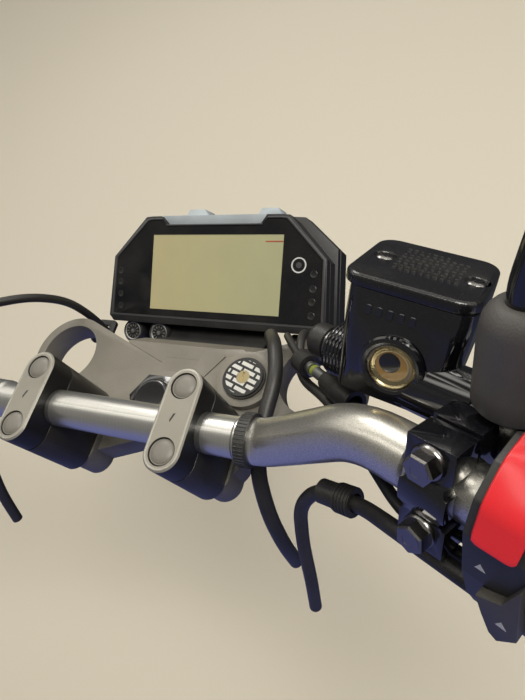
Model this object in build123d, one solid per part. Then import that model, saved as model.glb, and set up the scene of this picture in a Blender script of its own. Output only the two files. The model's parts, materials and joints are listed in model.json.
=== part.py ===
from build123d import *
import math
import os

os.makedirs("parts", exist_ok=True)

# The handlebar cockpit of a standard motorcycle, in millimetres: +Z up the steering stem, +Y forward,
# +X to the rider's right. The origin is on the stem's axis at the underside of the upper yoke.

# Steering head and yoke
rake = 25.0
stem_radius = 14.0
hub_radius = 25.0
yoke_thick = 20.0
hub_height = 24.0
fork_spacing = 200.0
fork_ahead = 32.0
fork_radius = 24.0
fork_wall = 7.0
fork_slit = 4.0
groove_wide = 1.2
groove_deep = 1.0
nut_flats = 32.0
nut_height = 12.0

# Handlebar: a straight middle, a rising leg on each side and a grip leg swept back
bar_radius = 11.1
bar_wall = 2.6
swell_radius = 12.2
swell_cone = 1.5
swell_straight = 7.5
swell_end = 27.0
bar_behind = 25.0
bar_height = 67.0
rise_start = 97.0
rise_bend = 20.0
band_start = 84.6
band_wide = 6.2
band_thick = 1.8
shoulder_out = 150.0
shoulder_ahead = 2.0
shoulder_rise = 38.0
shoulder_bend = 52.0
grip_pullback = 25.0
grip_rise = 14.2
grip_leg = 224.0

# Bar clamps on the yoke
clamp_spacing = 102.0
clamp_length = 57.0
clamp_width = 21.0
cap_height = 18.0
cap_seam = 1.0
plug_radius = 7.2
plug_depth = 5.0
plug_spacing = 36.0

# Ignition lock, right of the middle
lock_out = 55.0
lock_ahead = 25.0
lock_radius = 14.6
lock_top = 29.0
lock_depth = 34.0
lock_boss = 19.5
lock_face_thick = 1.5
lock_stands = 3.0
key_radius = 4.5
key_slot = 1.4

# Display
meter_ahead = 111.6
meter_height = 18.3
meter_pitch = 29.4
meter_depth = 52.0
meter_shell = 24.0
bezel_depth = 9.0
screen_width = 112.6
screen_height = 59.4
panel_thick = 1.6
knob_radius = 7.2
knob_up = -49.2
KNOBS_ACROSS = (-72.2, -46.5)

# Brake master cylinder and reservoir
reservoir_out = 170.3
reservoir_ahead = 40.7
reservoir_height = 127.9
reservoir_length = 50.0
reservoir_width = 50.0
reservoir_drop = 52.0
tank_foot_long = 47.0
tank_foot_wide = 34.0
lid_long = 53.0
lid_thick = 5.0
cylinder_radius = 13.0
cylinder_ahead = 31.0
cylinder_up = 7.0
cylinder_inner = -38.0
cylinder_outer = 34.0
control_clamp_at = 40.0
control_clamp_wide = 18.0
control_clamp_turn = 12.0
clamp_bolt_offset = 14.8
saddle_neck = 3.0
saddle_neck_at = 7.4
clamp_bolt_radius = 3.0
clamp_bolt_face = -14.0
clamp_flange = 6.6
clamp_flange_thick = 1.4
clamp_hexagon = 10.0

sight_radius = 10.0
union_bolt = 5.0
perch_socket = 10.0
adjuster_length = 22.0
union_cap_at = 11.0
union_cap = 8.6
hose_radius = 3.3
throttle_cable_radius = 2.4
return_cable_radius = 2.8
rod_radius = 3.2
bend_room = 1.8
sheath_radius = 4.6
clutch_cable_radius = 3.2
loom_radius = 3.6
# Where the cables leave the right housing, in the grip's space: ahead, up
FEED_HOLE = (1.0, -28.6)
RETURN_HOLE = (-6.5, -28.0)
LOOM_HOLE = (-15.0, -24.5)
# Straight runs of the feed cable's adjuster and of the loom's plug
ROD_RUN = ((144.0, -4.0, 76.5), (96.5, 33.0, 47.0))
CONNECTOR_RUN = ((150.0, -47.0, 73.0), (127.0, -42.0, 64.2))
sight_drop = -34.0
LID_SCREWS = ((-19.0, 1.5), (19.0, -1.5))

# Levers
pivot_ahead = 46.0
pivot_at = 50.0
pivot_up = 3.0
pivot_pin = 4.0
lever_thick = 10.0
lever_reach = 206.0
lever_ahead = 60.0
ear_gap = 0.4

# Switch housings, grips and bar ends
housing_inner = 60.0
housing_outer = 95.0
rocker_start = 3.0
rocker_end = 27.0
rocker_step = 16.0
rocker_step_up = 22.0
paddle_face = 27.5
paddle_thick = 9.0
grip_radius = 16.5
grip_collar = 20.0
tube_radius = 13.2
tube_play = 0.08
end_radius = 15.5
end_length = 22.0
turn_gap = 0.6

# Mirrors
mirror_ahead = 24.0
mirror_at = 50.0
boot_base = 25.0
boot_top = 62.0
stem_rod = 6.0
stem_bend = 40.0
ball_radius = 8.0

# Fits
seat = 0.05
air = 0.3

up_of_road = Vector(0, math.sin(math.radians(rake)), math.cos(math.radians(rake)))
rise = math.radians(grip_rise)
pull = math.radians(grip_pullback)
grip_line = Vector(
    math.cos(rise) * math.cos(pull), -math.cos(rise) * math.sin(pull), math.sin(rise)
)
lift = (up_of_road - grip_line * up_of_road.dot(grip_line)).normalized()
ahead = lift.cross(grip_line)
shoulder = Vector(shoulder_out, shoulder_ahead - bar_behind, bar_height + shoulder_rise)

# The reservoir leans ahead and out so that its lid lies level on the machine.
reservoir_plane = Plane(
    origin=(reservoir_out, reservoir_ahead, reservoir_height),
    x_dir=(0.969, -0.237, -0.068),
    z_dir=(0.191, 0.547, 0.815),
)

# In a grip's own space X is ahead, Y is up and Z runs out along the grip from the shoulder.
grip_plane = Plane(origin=shoulder, x_dir=ahead, z_dir=grip_line)


def on_grip(shape):
    """A shape made in the right grip's space, put in its place."""
    return grip_plane.location * shape


def to_left(shape):
    """The same shape on the rider's left."""
    return mirror(shape, about=Plane.YZ)


def place(x, y, z):
    """A point of the right grip's space, in the part's own frame."""
    return shoulder + ahead * x + lift * y + grip_line * z


def link(first, first_radius, second, second_radius):
    """Flat outline of two round ends and the straight sides that touch both."""
    a = Vector(*first)
    b = Vector(*second)
    run = b - a
    base = math.atan2(run.Y, run.X)
    spread = math.acos((first_radius - second_radius) / run.length)
    corners = []
    for centre, radius, side in (
        (a, first_radius, 1),
        (b, second_radius, 1),
        (b, second_radius, -1),
        (a, first_radius, -1),
    ):
        turn = base + side * spread
        corners.append(
            (centre.X + radius * math.cos(turn), centre.Y + radius * math.sin(turn))
        )
    body = make_face(Polyline(*corners, close=True))
    ends = Pos(a.X, a.Y) * Circle(first_radius) + Pos(b.X, b.Y) * Circle(second_radius)
    return body + ends


def slab(sketch, low, high):
    """A sketch drawn in X and Z, as a plate from low to high in Y."""
    return Pos(0, high, 0) * extrude(Plane.XZ * sketch, amount=high - low)


def rise_from(sketch, low, high):
    """A sketch drawn in X and Y, as a plate from low to high in Z."""
    return Pos(0, 0, low) * extrude(sketch, amount=high - low)


def rod(start, end, radius):
    """A round bar between two points."""
    run = end - start
    return Plane(origin=start, z_dir=run).location * Cylinder(
        radius, run.length, align=(Align.CENTER, Align.CENTER, Align.MIN)
    )


def cone(start, end, start_radius, end_radius):
    """A tapered round bar between two points."""
    run = end - start
    return Plane(origin=start, z_dir=run).location * Cone(
        start_radius,
        end_radius,
        run.length,
        align=(Align.CENTER, Align.CENTER, Align.MIN),
    )


def arc_radii(points, least):
    """The largest tangent arcs that a cord's runs allow, one for each corner."""
    radii = []
    for before, here, after in zip(points, points[1:], points[2:]):
        arriving = Vector(*here) - Vector(*before)
        leaving = Vector(*after) - Vector(*here)
        half_turn = math.radians(arriving.get_angle(leaving)) / 2
        shorter = min(arriving.length, leaving.length)
        radii.append(0.45 * shorter / math.tan(half_turn))
    print("cord arcs", [round(radius, 1) for radius in radii], "least", least)
    return radii


def cord(points, radius):
    """A round cable of straight runs joined by tangent arcs."""
    path = FilletPolyline(*points, radius=arc_radii(points, radius * 10))
    start = Plane(origin=path @ 0, z_dir=path % 0)
    tube = sweep(start * Circle(radius), path=path)
    print("cord volume ratio", round(tube.volume / (math.pi * radius**2 * path.length), 4))
    return tube


def save(name, shape):
    """Writes one named piece, as a list of its solids."""
    solids = shape.solids() if hasattr(shape, "solids") else list(shape)
    joined = solids[0] if len(solids) == 1 else Compound(children=list(solids))
    export_step(joined, f"parts/{name}.step")


def make_bar_run(plain, swell, ends):
    """One round run along the whole bar: plain ends and middle, wider bends."""
    first = Vector(rise_start, -bar_behind, bar_height)
    run = shoulder - first
    turn_low = math.radians(Vector(1, 0, 0).get_angle(run)) / 2
    bend_in = rise_start - rise_bend * math.tan(turn_low) - swell_straight
    low = Vector(bend_in, -bar_behind, bar_height)
    low_cone = low - Vector(swell_cone, 0, 0)
    high = shoulder + grip_line * swell_end
    high_cone = high + grip_line * swell_cone
    path = FilletPolyline(low, first, shoulder, high, radius=[rise_bend, shoulder_bend])
    bend = sweep(Plane(origin=path @ 0, z_dir=path % 0) * Circle(swell), path=path)
    half = bend + cone(low_cone, low, plain, swell) + cone(high, high_cone, swell, plain)
    half += rod(high_cone, shoulder + grip_line * (grip_leg + ends), plain)
    middle = rod(Vector(-low_cone.X, low.Y, low.Z), low_cone, plain)
    return middle + half + to_left(half)


def make_handlebar():
    """The bar, a bent tube with open ends."""
    outer = make_bar_run(bar_radius, swell_radius, 0)
    return outer - make_bar_run(bar_radius - bar_wall, swell_radius - bar_wall, 1)


def make_yoke():
    """Upper yoke: hub, two split fork rings, two bar bosses and the lock's boss."""
    ring = fork_radius + fork_wall
    plan = yoke_plan(0)
    plate = rise_from(plan, 0, yoke_thick)
    plate += rise_from(Circle(hub_radius), 0, hub_height)
    for side in (-1, 1):
        holder = Pos(side * clamp_spacing / 2, -bar_behind) * SlotOverall(
            clamp_length - 8, clamp_width + 3, rotation=90
        )
        plate += rise_from(holder, 0, hub_height)
    plate += rise_from(Pos(lock_out, lock_ahead) * Circle(lock_boss), 0, lock_top - lock_stands)
    holes = Circle(stem_radius) + Pos(lock_out, lock_ahead) * Circle(lock_radius + seat)
    plate -= rise_from(holes, -1, lock_top + 1)
    groove = trace(Line(*YOKE_GROOVE), line_width=groove_wide)
    plate -= rise_from(groove, yoke_thick - groove_deep, yoke_thick + 1)
    for side in (-1, 1):
        centre = Pos(side * fork_spacing / 2, fork_ahead)
        plate -= rise_from(centre * Circle(fork_radius), -1, hub_height + 1)
        lug = centre * Pos(side * 4, -ring - 2) * Rectangle(26, 14)
        plate += rise_from(lug, 2, yoke_thick - 2)
        plate -= rise_from(centre * Pos(side * 4, -ring) * Rectangle(fork_slit, 26), -1, hub_height + 1)
    return plate


def make_stem_nut():
    """Domed cap nut on its washer, over the top of the stem's bore."""
    washer = rise_from(Circle(nut_flats / 2 + 3), hub_height, hub_height + 2)
    hexagon = RegularPolygon(nut_flats / 2, 6, major_radius=False)
    body = rise_from(hexagon, hub_height + 2, hub_height + nut_height)
    dome = rise_from(Circle(nut_flats / 2 - 3), hub_height + nut_height, hub_height + nut_height + 4)
    return washer + body + fillet(dome.edges().group_by(Axis.Z)[-1], 3)


def make_lock():
    """Ignition lock: barrel through the yoke and the round face with its key slot."""
    spot = Pos(lock_out, lock_ahead)
    seat_height = lock_top - lock_face_thick
    body = spot * rise_from(Circle(lock_radius), lock_top - lock_depth, seat_height)
    disc = spot * rise_from(Circle(lock_radius - 1.2), seat_height, lock_top)
    disc -= spot * rise_from(Circle(key_radius + 0.1), seat_height, lock_top + 1)
    key = spot * rise_from(Circle(key_radius), seat_height, lock_top - 0.2)
    key -= spot * rise_from(Rectangle(key_slot, 6.4), lock_top - 1.2, lock_top + 1)
    return body, disc, key


def make_holder(side):
    """Lower half of a bar clamp, standing on the yoke."""
    centre = Pos(side * clamp_spacing / 2, -bar_behind)
    plan = centre * SlotOverall(clamp_length, clamp_width, rotation=90)
    block = rise_from(plan, hub_height, bar_height - cap_seam / 2)
    return block - rod(
        Vector(-clamp_spacing, -bar_behind, bar_height),
        Vector(clamp_spacing, -bar_behind, bar_height),
        bar_radius + seat,
    )


def make_cap(side):
    """Upper half of a bar clamp, with a rimmed top and two sunk screw holes."""
    centre = Pos(side * clamp_spacing / 2, -bar_behind)
    top = bar_height + cap_height
    block = rise_from(
        centre * SlotOverall(clamp_length, clamp_width, rotation=90),
        bar_height + cap_seam / 2,
        top,
    )
    block = chamfer(block.edges().group_by(Axis.Z)[-1], 0.8)
    block -= rod(
        Vector(-clamp_spacing, -bar_behind, bar_height),
        Vector(clamp_spacing, -bar_behind, bar_height),
        bar_radius + seat,
    )
    for end in (-1, 1):
        well = centre * Pos(0, end * plug_spacing / 2) * Circle(plug_radius + 0.35)
        block -= rise_from(well, top - plug_depth, top + 1)
    return block


def make_plugs():
    """Four rubber plugs over the clamp screws."""
    plugs = []
    top = bar_height + cap_height
    for side in (-1, 1):
        for end in (-1, 1):
            spot = Pos(side * clamp_spacing / 2, -bar_behind + end * plug_spacing / 2)
            plug = rise_from(spot * Circle(plug_radius), top - plug_depth, top - 0.4)
            plugs.append(fillet(plug.edges().group_by(Axis.Z)[-1], 0.8))
    return plugs


def make_loom_band():
    """Strap round the bar where its bright middle ends."""
    inner = swell_radius + seat
    band = extrude(Circle(inner + band_thick) - Circle(inner), amount=band_wide)
    start = Plane(origin=(band_start, -bar_behind, bar_height), z_dir=(1, 0, 0))
    return start.location * band


face_plane = Plane(
    origin=(-2, meter_ahead, meter_height),
    x_dir=(1, 0, 0),
    z_dir=(0, -math.sin(math.radians(meter_pitch)), math.cos(math.radians(meter_pitch))),
)


def mirrored_face(half, notch=()):
    """A closed outline from its right half, listed from the top down, and a notch on its top."""
    right = list(half)
    left = [(-x, y) for x, y in reversed(half)]
    return make_face(Polyline(*(right + left + list(notch)), close=True))


# Right half of the display's outlines, top to bottom: across, up
CASE_HALF = ((56.0, 44.5), (62.0, 44.0), (92.0, 12.0), (94.5, -37.0), (90.0, -41.5))
PANEL_HALF = ((55.0, 41.2), (59.5, 40.6), (88.3, 11.4), (90.2, -34.7))
BACK_HALF = ((58.0, 47.5), (66.0, 47.0), (93.0, 23.0), (96.0, -36.0), (90.0, -41.5))
# The notch that holds the pale strip, left to right: across, up
CASE_NOTCH = ((-48.0, 44.6), (-41.0, 38.0), (39.5, 38.0), (44.0, 44.6))
PANEL_NOTCH = ((-45.5, 41.2), (-42.0, 36.4), (40.5, 36.4), (43.4, 41.2))
# Bands of the display's back, front to rear: depth where each begins, how far it stands in
BACK_BANDS = ((meter_shell, 0.0), (31.0, 1.2), (33.0, 0.0), (41.0, 1.2), (43.0, 0.6))


def make_meter():
    """Display case with its stepped back, its gloss front, the screen and the two round knobs."""
    case = mirrored_face(CASE_HALF, CASE_NOTCH)
    shell = rise_from(case, -bezel_depth, 0)
    shell += rise_from(offset(case, -2.0, kind=Kind.INTERSECTION), -bezel_depth - 3, -bezel_depth)
    shell += rise_from(offset(case, -0.6, kind=Kind.INTERSECTION), -meter_shell, -bezel_depth - 3)
    back = mirrored_face(BACK_HALF)
    ends = [begin for begin, _ in BACK_BANDS[1:]] + [meter_depth]
    for (begin, inset), end in zip(BACK_BANDS, ends):
        shell += rise_from(offset(back, -inset, kind=Kind.INTERSECTION), -end, -begin)
    panel_face = mirrored_face(PANEL_HALF, PANEL_NOTCH)
    shell -= rise_from(offset(panel_face, air, kind=Kind.INTERSECTION), -panel_thick, 1)
    knob_block = Pos(-60, -50) * RectangleRounded(46, 20, 5)
    shell += rise_from(knob_block, -30, -16) - rise_from(case, -40, 0)
    shell += rise_from(Pos(-60, -43) * Rectangle(38, 8), -30, -16)
    panel = rise_from(panel_face, -panel_thick, -0.2)
    opening = Pos(2, 0) * Rectangle(screen_width, screen_height)
    panel -= rise_from(offset(opening, 0.1, kind=Kind.INTERSECTION), -0.8, 1)
    screen = rise_from(opening, -0.8, -0.35)
    knobs = []
    for across in KNOBS_ACROSS:
        knob = rise_from(Pos(across, knob_up) * Circle(knob_radius), -16, -3)
        knobs.append(fillet(knob.edges().group_by(Axis.Z)[-1], 1))
    place_it = face_plane.location
    return (
        place_it * shell,
        place_it * panel,
        place_it * screen,
        [place_it * knob for knob in knobs],
    )


# Pale strip in the notch and the two humps on it: across, up, from the lower left round
STRIP = ((-40.7, 38.3), (39.2, 38.3), (43.7, 45.2), (-47.9, 45.2))
LEFT_HUMP = ((-29.0, 44.9), (-7.3, 44.9), (-12.0, 50.6), (-25.0, 50.6))
RIGHT_HUMP = ((34.0, 44.9), (54.0, 44.9), (50.0, 50.6), (37.0, 50.6))


def make_hood():
    """Pale strip in the notch on top of the case, with two mounting humps."""
    body = rise_from(make_face(Polyline(*STRIP, close=True)), -20, -2)
    for hump in (LEFT_HUMP, RIGHT_HUMP):
        body += rise_from(make_face(Polyline(*hump, close=True)), -22, -6)
    return face_plane.location * body


def make_meter_stay():
    """Steel stay from under the yoke's front to a plate on the back of the display case."""
    route = Polyline((26, -2.7), (47, -2.7), (95.0, -54.2), (147.0, -24.9))
    arm = trace(route, line_width=5)
    stay = face_plane.location * rise_from(Rectangle(92, 44), -meter_depth - 4.9, -meter_depth - air)
    for side in (-1, 1):
        stay += Pos(side * 28 + 6, 0, 0) * extrude(Plane.YZ * arm, amount=-12)
    return stay


# The yoke's front lip between its middle and the lock: across, ahead
YOKE_LIP = (
    (-25.0, 10.0),
    (-12.0, 37.0),
    (14.0, 37.0),
    (17.0, 46.5),
    (45.0, 48.5),
    (64.0, 40.0),
    (60.0, 10.0),
)
# Both ends of the groove on the yoke's upper face: across, ahead
YOKE_GROOVE = ((22.6, 25.0), (33.8, 41.5))


def yoke_plan(grow):
    """Outline of the yoke's plate, with its edges moved out by grow."""
    ring = fork_radius + fork_wall
    plan = Circle(hub_radius + grow)
    for side in (-1, 1):
        fork = (side * fork_spacing / 2, fork_ahead)
        boss = (side * clamp_spacing / 2, -bar_behind)
        plan += link((0, 0), hub_radius + grow, fork, ring + grow)
        plan += link((0, 0), hub_radius - 6 + grow, boss, clamp_width / 2 + 5 + grow)
        plan += link(boss, clamp_width / 2 + 3 + grow, fork, ring - 14 + grow)
    lip = make_face(Polyline(*YOKE_LIP, close=True))
    plan += offset(lip, grow) if grow else lip
    return plan + Pos(lock_out, lock_ahead) * Circle(lock_boss + grow)


def make_cowl():
    """Plastic cover between the yoke's front edge and the foot of the display."""
    route = Polyline((28, 18.0), (47, 18.0), (58, 2.0))
    sheet = Pos(-50, 0, 0) * extrude(Plane.YZ * trace(route, line_width=3), amount=122)
    return sheet - rise_from(yoke_plan(air), -5, hub_height + 10)


def cable_routes():
    """Radius and route of each hose, cable and loom that the cockpit holds all the way."""
    hose = spout_end() + SPOUT_LINE * air
    feed = place(*FEED_HOLE, housing_inner - air)
    back = place(*RETURN_HOLE, housing_inner - air)
    under = place(*LOOM_HOLE, housing_inner - air)
    perch_end = control_clamp_at - control_clamp_wide / 2 - perch_socket - adjuster_length
    perch = place(cylinder_ahead, cylinder_up, perch_end)
    left_line = Vector(-grip_line.X, grip_line.Y, grip_line.Z)
    adjuster = Vector(-perch.X, perch.Y, perch.Z)
    loom = (
        under,
        under - grip_line * 28,
        *CONNECTOR_RUN,
        (115.8, -49, 48.5),
        (115.5, -64, 27),
        (118, -79, 4),
        (118, -92, -20),
    )
    return {
        "brake_hose": (
            hose_radius,
            (
                hose,
                (118.6, 28, 65),
                (115, 38, 44),
                (108, 57, 33),
                (100, 73, 12),
                (97, 77, -12),
                (96, 76, -40),
            ),
        ),
        "throttle_cable": (
            throttle_cable_radius,
            (
                feed,
                feed - grip_line * 34,
                *ROD_RUN,
                (80, 54, 35),
                (70, 67, 10),
                (69, 70, -18),
            ),
        ),
        "throttle_return": (
            return_cable_radius,
            (
                back,
                back - grip_line * 34,
                (142, -17, 67),
                (121.9, 5.2, 55.5),
                (94, 26.5, 37.5),
                (87, 61, 31),
                (82, 73, -3),
                (82, 72, -21),
            ),
        ),
        "wire_sheath": (
            sheath_radius,
            (
                (54, 67, -34),
                (54, 67, -6),
                (62, 62, 22),
                (76, 44, 41),
                (84, 20, 45),
                (81.5, -6, 41),
                (82, -32, 33),
                (88, -52, 12),
                (93, -64, -14),
                (95, -70, -42),
            ),
        ),
        "clutch_cable": (
            clutch_cable_radius,
            (
                adjuster,
                adjuster - left_line * 14,
                (-130, 32, 84),
                (-114, 54, 64),
                (-107, 68, 38),
                (-106, 72, 8),
                (-105, 70, -22),
                (-102, 64, -50),
            ),
        ),
        "loom_right": (loom_radius, loom),
        "loom_left": (loom_radius, [(-x, y, z) for x, y, z in map(tuple, map(Vector, loom))]),
    }


# Holes of the right guide: across, ahead, radius
RIGHT_GUIDE_HOLES = ((97.0, 76.9, 3.9), (69.2, 69.4, 3.0), (82.0, 72.5, 3.5))


def make_guide(side, centre, width, holes):
    """Plate under the yoke's front that holds the cables side by side."""
    plate = Pos(side * centre, 69) * RectangleRounded(width, 22, 4)
    for across, ahead_at, radius in holes:
        plate -= Pos(across, ahead_at) * Circle(radius)
    tab = Pos(side * centre, fork_ahead + fork_radius + 4) * Rectangle(width - 8, 3)
    return rise_from(plate, -14, -11) + rise_from(tab, -12, -seat)


def along(run, start, end, low_radius, high_radius):
    """A round piece on a straight run, from one share of its length to another."""
    first = Vector(*run[0])
    line = Vector(*run[1]) - first
    low, high = first + line * start, first + line * end
    if low_radius == high_radius:
        return rod(low, high, low_radius)
    return cone(low, high, low_radius, high_radius)


def make_cable_rod():
    """Plated adjuster tube on the feed cable, with its lock nut."""
    bore = throttle_cable_radius + seat
    body = along(ROD_RUN, 0.5, 0.8, rod_radius, rod_radius)
    body += along(ROD_RUN, 0.74, 0.8, rod_radius + 0.9, rod_radius + 0.9)
    return body - along(ROD_RUN, 0.4, 0.9, bore, bore)


def make_loom_joints():
    """Rubber sleeve and clip on the throttle cables, and the plug of each switch's loom."""
    bore = throttle_cable_radius + seat
    sleeve = along(ROD_RUN, 0.1, 0.3, 6.2, 6.8) + along(ROD_RUN, 0.3, 0.52, 6.8, 5.4)
    sleeve -= along(ROD_RUN, 0.05, 0.37, bore + bend_room, bore) + along(ROD_RUN, 0.36, 0.6, bore, bore)
    sleeve -= along(ROD_RUN, 0.49, 0.6, rod_radius + seat, rod_radius + seat)
    clip = along(ROD_RUN, 0.81, 0.98, 6.8, 6.8) - along(ROD_RUN, 0.78, 1.02, bore, bore + bend_room / 2)
    wire = loom_radius + seat
    plug = along(CONNECTOR_RUN, 0.12, 0.5, 6.6, 6.6) + along(CONNECTOR_RUN, 0.5, 0.88, 5.9, 5.9)
    plug -= along(CONNECTOR_RUN, 0.0, 0.55, wire + bend_room / 2, wire)
    plug -= along(CONNECTOR_RUN, 0.54, 1.0, wire, wire + bend_room)
    return [sleeve, clip, plug, to_left(plug)]


def make_brake():
    """Brake master cylinder: barrel and reservoir on the shared control body."""
    body = make_control_body()
    body += rod(
        Vector(cylinder_ahead, cylinder_up, cylinder_inner),
        Vector(cylinder_ahead, cylinder_up, cylinder_outer),
        cylinder_radius,
    )
    placed = on_grip(body)
    top = RectangleRounded(reservoir_length, reservoir_width, 7)
    foot = Pos(0, (tank_foot_wide - reservoir_width) / 2) * RectangleRounded(
        tank_foot_long, tank_foot_wide, 7
    )
    tank = rise_from(top, -18, -lid_thick)
    tank += loft([Pos(0, 0, -18) * top.face(), Pos(0, 0, -reservoir_drop) * foot.face()])
    body = placed + reservoir_plane.location * tank
    rim = rise_from(Circle(sight_radius + 3), -2, 2.5)
    well = rise_from(Circle(sight_radius + seat), 0, 30)
    union = cylinder_end()
    return body + sight_spot() * rim - sight_spot() * well - union


def sight_spot():
    """Where the sight glass sits on the reservoir's rider side."""
    face = Plane(origin=(0, -reservoir_width / 2, sight_drop), x_dir=(1, 0, 0), z_dir=(0, -1, 0))
    return reservoir_plane.location * face.location


def cylinder_end():
    """Threaded socket in the barrel's inner end."""
    start = Vector(cylinder_ahead, cylinder_up, cylinder_inner - 1)
    return on_grip(rod(start, start + Vector(0, 0, 9), union_bolt + seat))


def spout_end():
    """Where the brake hose leaves the union's spout."""
    return place(cylinder_ahead, cylinder_up, cylinder_inner - union_cap_at) + SPOUT_LINE * 10


# The spout points almost straight down on the machine.
SPOUT_LINE = Vector(-0.107, 0.128, -0.986).normalized()


def make_union():
    """Hose end on the barrel: threaded stub, ribbed collar, rubber cap and its spout."""
    end = Vector(cylinder_ahead, cylinder_up, cylinder_inner)
    out = Vector(0, 0, -1)
    stub = rod(end + out * seat, end - out * 7.5, union_bolt)
    collar = rod(end + out * seat, end + out * (union_cap_at - 5), 7.0)
    cap = rod(end + out * (union_cap_at - 5.2), end + out * (union_cap_at + 5), union_cap)
    cap = fillet(cap.edges().group_by(Axis.Z)[0], 2.5)
    body = on_grip(stub + collar + cap)
    return body + rod(spout_end() - SPOUT_LINE * 9, spout_end(), hose_radius + 1.2)


def make_adjuster():
    """Clutch cable's adjuster: threaded stub, knurled wheel and barrel, in the grip's space."""
    low = control_clamp_at - control_clamp_wide / 2 - perch_socket
    end = Vector(cylinder_ahead, cylinder_up, low)
    out = Vector(0, 0, -1)
    stub = rod(end + out * seat, end - out * 7.5, union_bolt)
    wheel = rod(end + out * seat, end + out * 6, 9.0)
    barrel = cone(end + out * 6, end + out * adjuster_length, 5.5, 4.4)
    return stub + wheel + barrel


def make_lid():
    """Reservoir lid with its two sunk screws' wells."""
    shift = (reservoir_length - lid_long) / 2
    lid = rise_from(Pos(shift, 0) * RectangleRounded(lid_long, reservoir_width, 9), -lid_thick, 0)
    lid = chamfer(lid.edges().group_by(Axis.Z)[-1], 1.2)
    for across, up in LID_SCREWS:
        lid -= rise_from(Pos(across, up) * Circle(4.6), -1.2, 1)
    return reservoir_plane.location * lid


def make_sight_glass():
    """Brass ring and amber window low on the reservoir's rider side."""
    ring = rise_from(Circle(sight_radius) - Circle(sight_radius - 2.5), 0, 2.2)
    window = rise_from(Circle(sight_radius - 2.5 - seat), 0, 0.8)
    return sight_spot() * ring, sight_spot() * window


def make_control_clamp():
    """Body half of a control's bar clamp, in the grip's space."""
    low = control_clamp_at - control_clamp_wide / 2
    high = control_clamp_at + control_clamp_wide / 2
    shape = Circle(bar_radius + 6.5) + Rectangle(13, 46, align=(Align.MIN, Align.CENTER))
    shape -= Rectangle(40, 60, align=(Align.MAX, Align.CENTER))
    shape -= Pos(0.6, 0) * Rectangle(0.6, 60, align=(Align.MAX, Align.CENTER))
    turned = Rot(0, 0, -control_clamp_turn) * shape
    turned += link((14, 0), 12, (22, 4), 11)
    half = rise_from(turned, low, high)
    gap = Rot(0, 0, -control_clamp_turn) * Rectangle(40, 60, align=(Align.MAX, Align.CENTER))
    return half - rise_from(gap, low - 1, high + 1)


def make_control_body():
    """What both controls share: bar clamp half, lever ears and mirror boss."""
    low = control_clamp_at - control_clamp_wide / 2
    ears = link((pivot_ahead, pivot_at), 10, (cylinder_ahead, low + 6), 12)
    gap = lever_thick / 2 + ear_gap
    body = make_control_clamp()
    body += slab(ears, pivot_up + gap, pivot_up + gap + 6)
    body += slab(ears, pivot_up - gap - 6, pivot_up - gap)
    body += slab(Pos(mirror_ahead, mirror_at) * Circle(9.0), 2, boot_base)
    body -= slab(Pos(pivot_ahead, pivot_at) * Circle(pivot_pin + seat), -20, 30)
    return body - rod(Vector(0, 0, -200), Vector(0, 0, 300), bar_radius + seat)


def make_perch():
    """Clutch lever's perch with the socket for its cable adjuster."""
    body = make_control_body()
    low = control_clamp_at - control_clamp_wide / 2
    socket = rod(
        Vector(cylinder_ahead, cylinder_up, low - perch_socket),
        Vector(cylinder_ahead, cylinder_up, low + 6),
        9.5,
    )
    body += socket
    start = Vector(cylinder_ahead, cylinder_up, low - perch_socket - 1)
    return body - rod(start, start + Vector(0, 0, 9), union_bolt + seat)


def make_saddle():
    """Rider's half of a control's bar clamp and its two hexagon bolts."""
    low = control_clamp_at - control_clamp_wide / 2
    high = control_clamp_at + control_clamp_wide / 2
    shape = Circle(bar_radius + 5.5) + Rectangle(14, 44, align=(Align.MAX, Align.CENTER))
    shape -= Rectangle(40, 60, align=(Align.MIN, Align.CENTER))
    shape -= Pos(-0.6, 0) * Rectangle(1, 60, align=(Align.MIN, Align.CENTER))
    shape -= Circle(bar_radius + seat)
    turn = Rot(0, 0, -control_clamp_turn)
    saddle = rise_from(turn * shape, low, high)
    bolts = []
    for end in (-1, 1):
        for edge in (low - 1, high + 1):
            neck = Vector(-40, end * saddle_neck_at, edge)
            saddle -= turn * rod(neck, neck + Vector(41, 0, 0), saddle_neck)
        centre = Vector(0, end * clamp_bolt_offset, control_clamp_at)
        face = centre + Vector(clamp_bolt_face, 0, 0)
        flange = face - Vector(clamp_flange_thick, 0, 0)
        saddle -= turn * rod(centre + Vector(-40, 0, 0), centre, clamp_bolt_radius + 0.2)
        saddle -= turn * rod(centre + Vector(-40, 0, 0), face, clamp_flange + 0.2)
        hexagon = extrude(RegularPolygon(clamp_hexagon / 2, 6, major_radius=False), amount=5.5)
        head = rod(flange, face, clamp_flange)
        head += Plane(origin=flange, z_dir=(-1, 0, 0)).location * hexagon
        head += rod(face, centre + Vector(-0.7, 0, 0), clamp_bolt_radius)
        bolts.append(turn * head)
    return saddle, bolts


def make_lever():
    """Hand lever on its pivot, in the grip's space, with a ball at its tip."""
    hub = link((pivot_ahead, pivot_at), 9.5, (pivot_ahead + 8, pivot_at + 22), 7)
    arm = link((pivot_ahead + 8, pivot_at + 22), 7, (lever_ahead, pivot_at + 48), 6.5)
    blade = link((lever_ahead, pivot_at + 48), 6.5, (lever_ahead + 2, pivot_at + 100), 6)
    tail = link((lever_ahead + 2, pivot_at + 100), 6, (lever_ahead - 4, lever_reach), 5)
    half = lever_thick / 2
    lever = slab(hub + arm + blade + tail, pivot_up - half, pivot_up + half)
    lever = fillet(lever.edges().group_by(Axis.Y)[-1] + lever.edges().group_by(Axis.Y)[0], 2)
    lever += Pos(lever_ahead - 4, pivot_up, lever_reach) * Sphere(8.5)
    lever -= slab(Pos(pivot_ahead, pivot_at) * Circle(pivot_pin + 0.05), -20, 30)
    return lever


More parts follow.
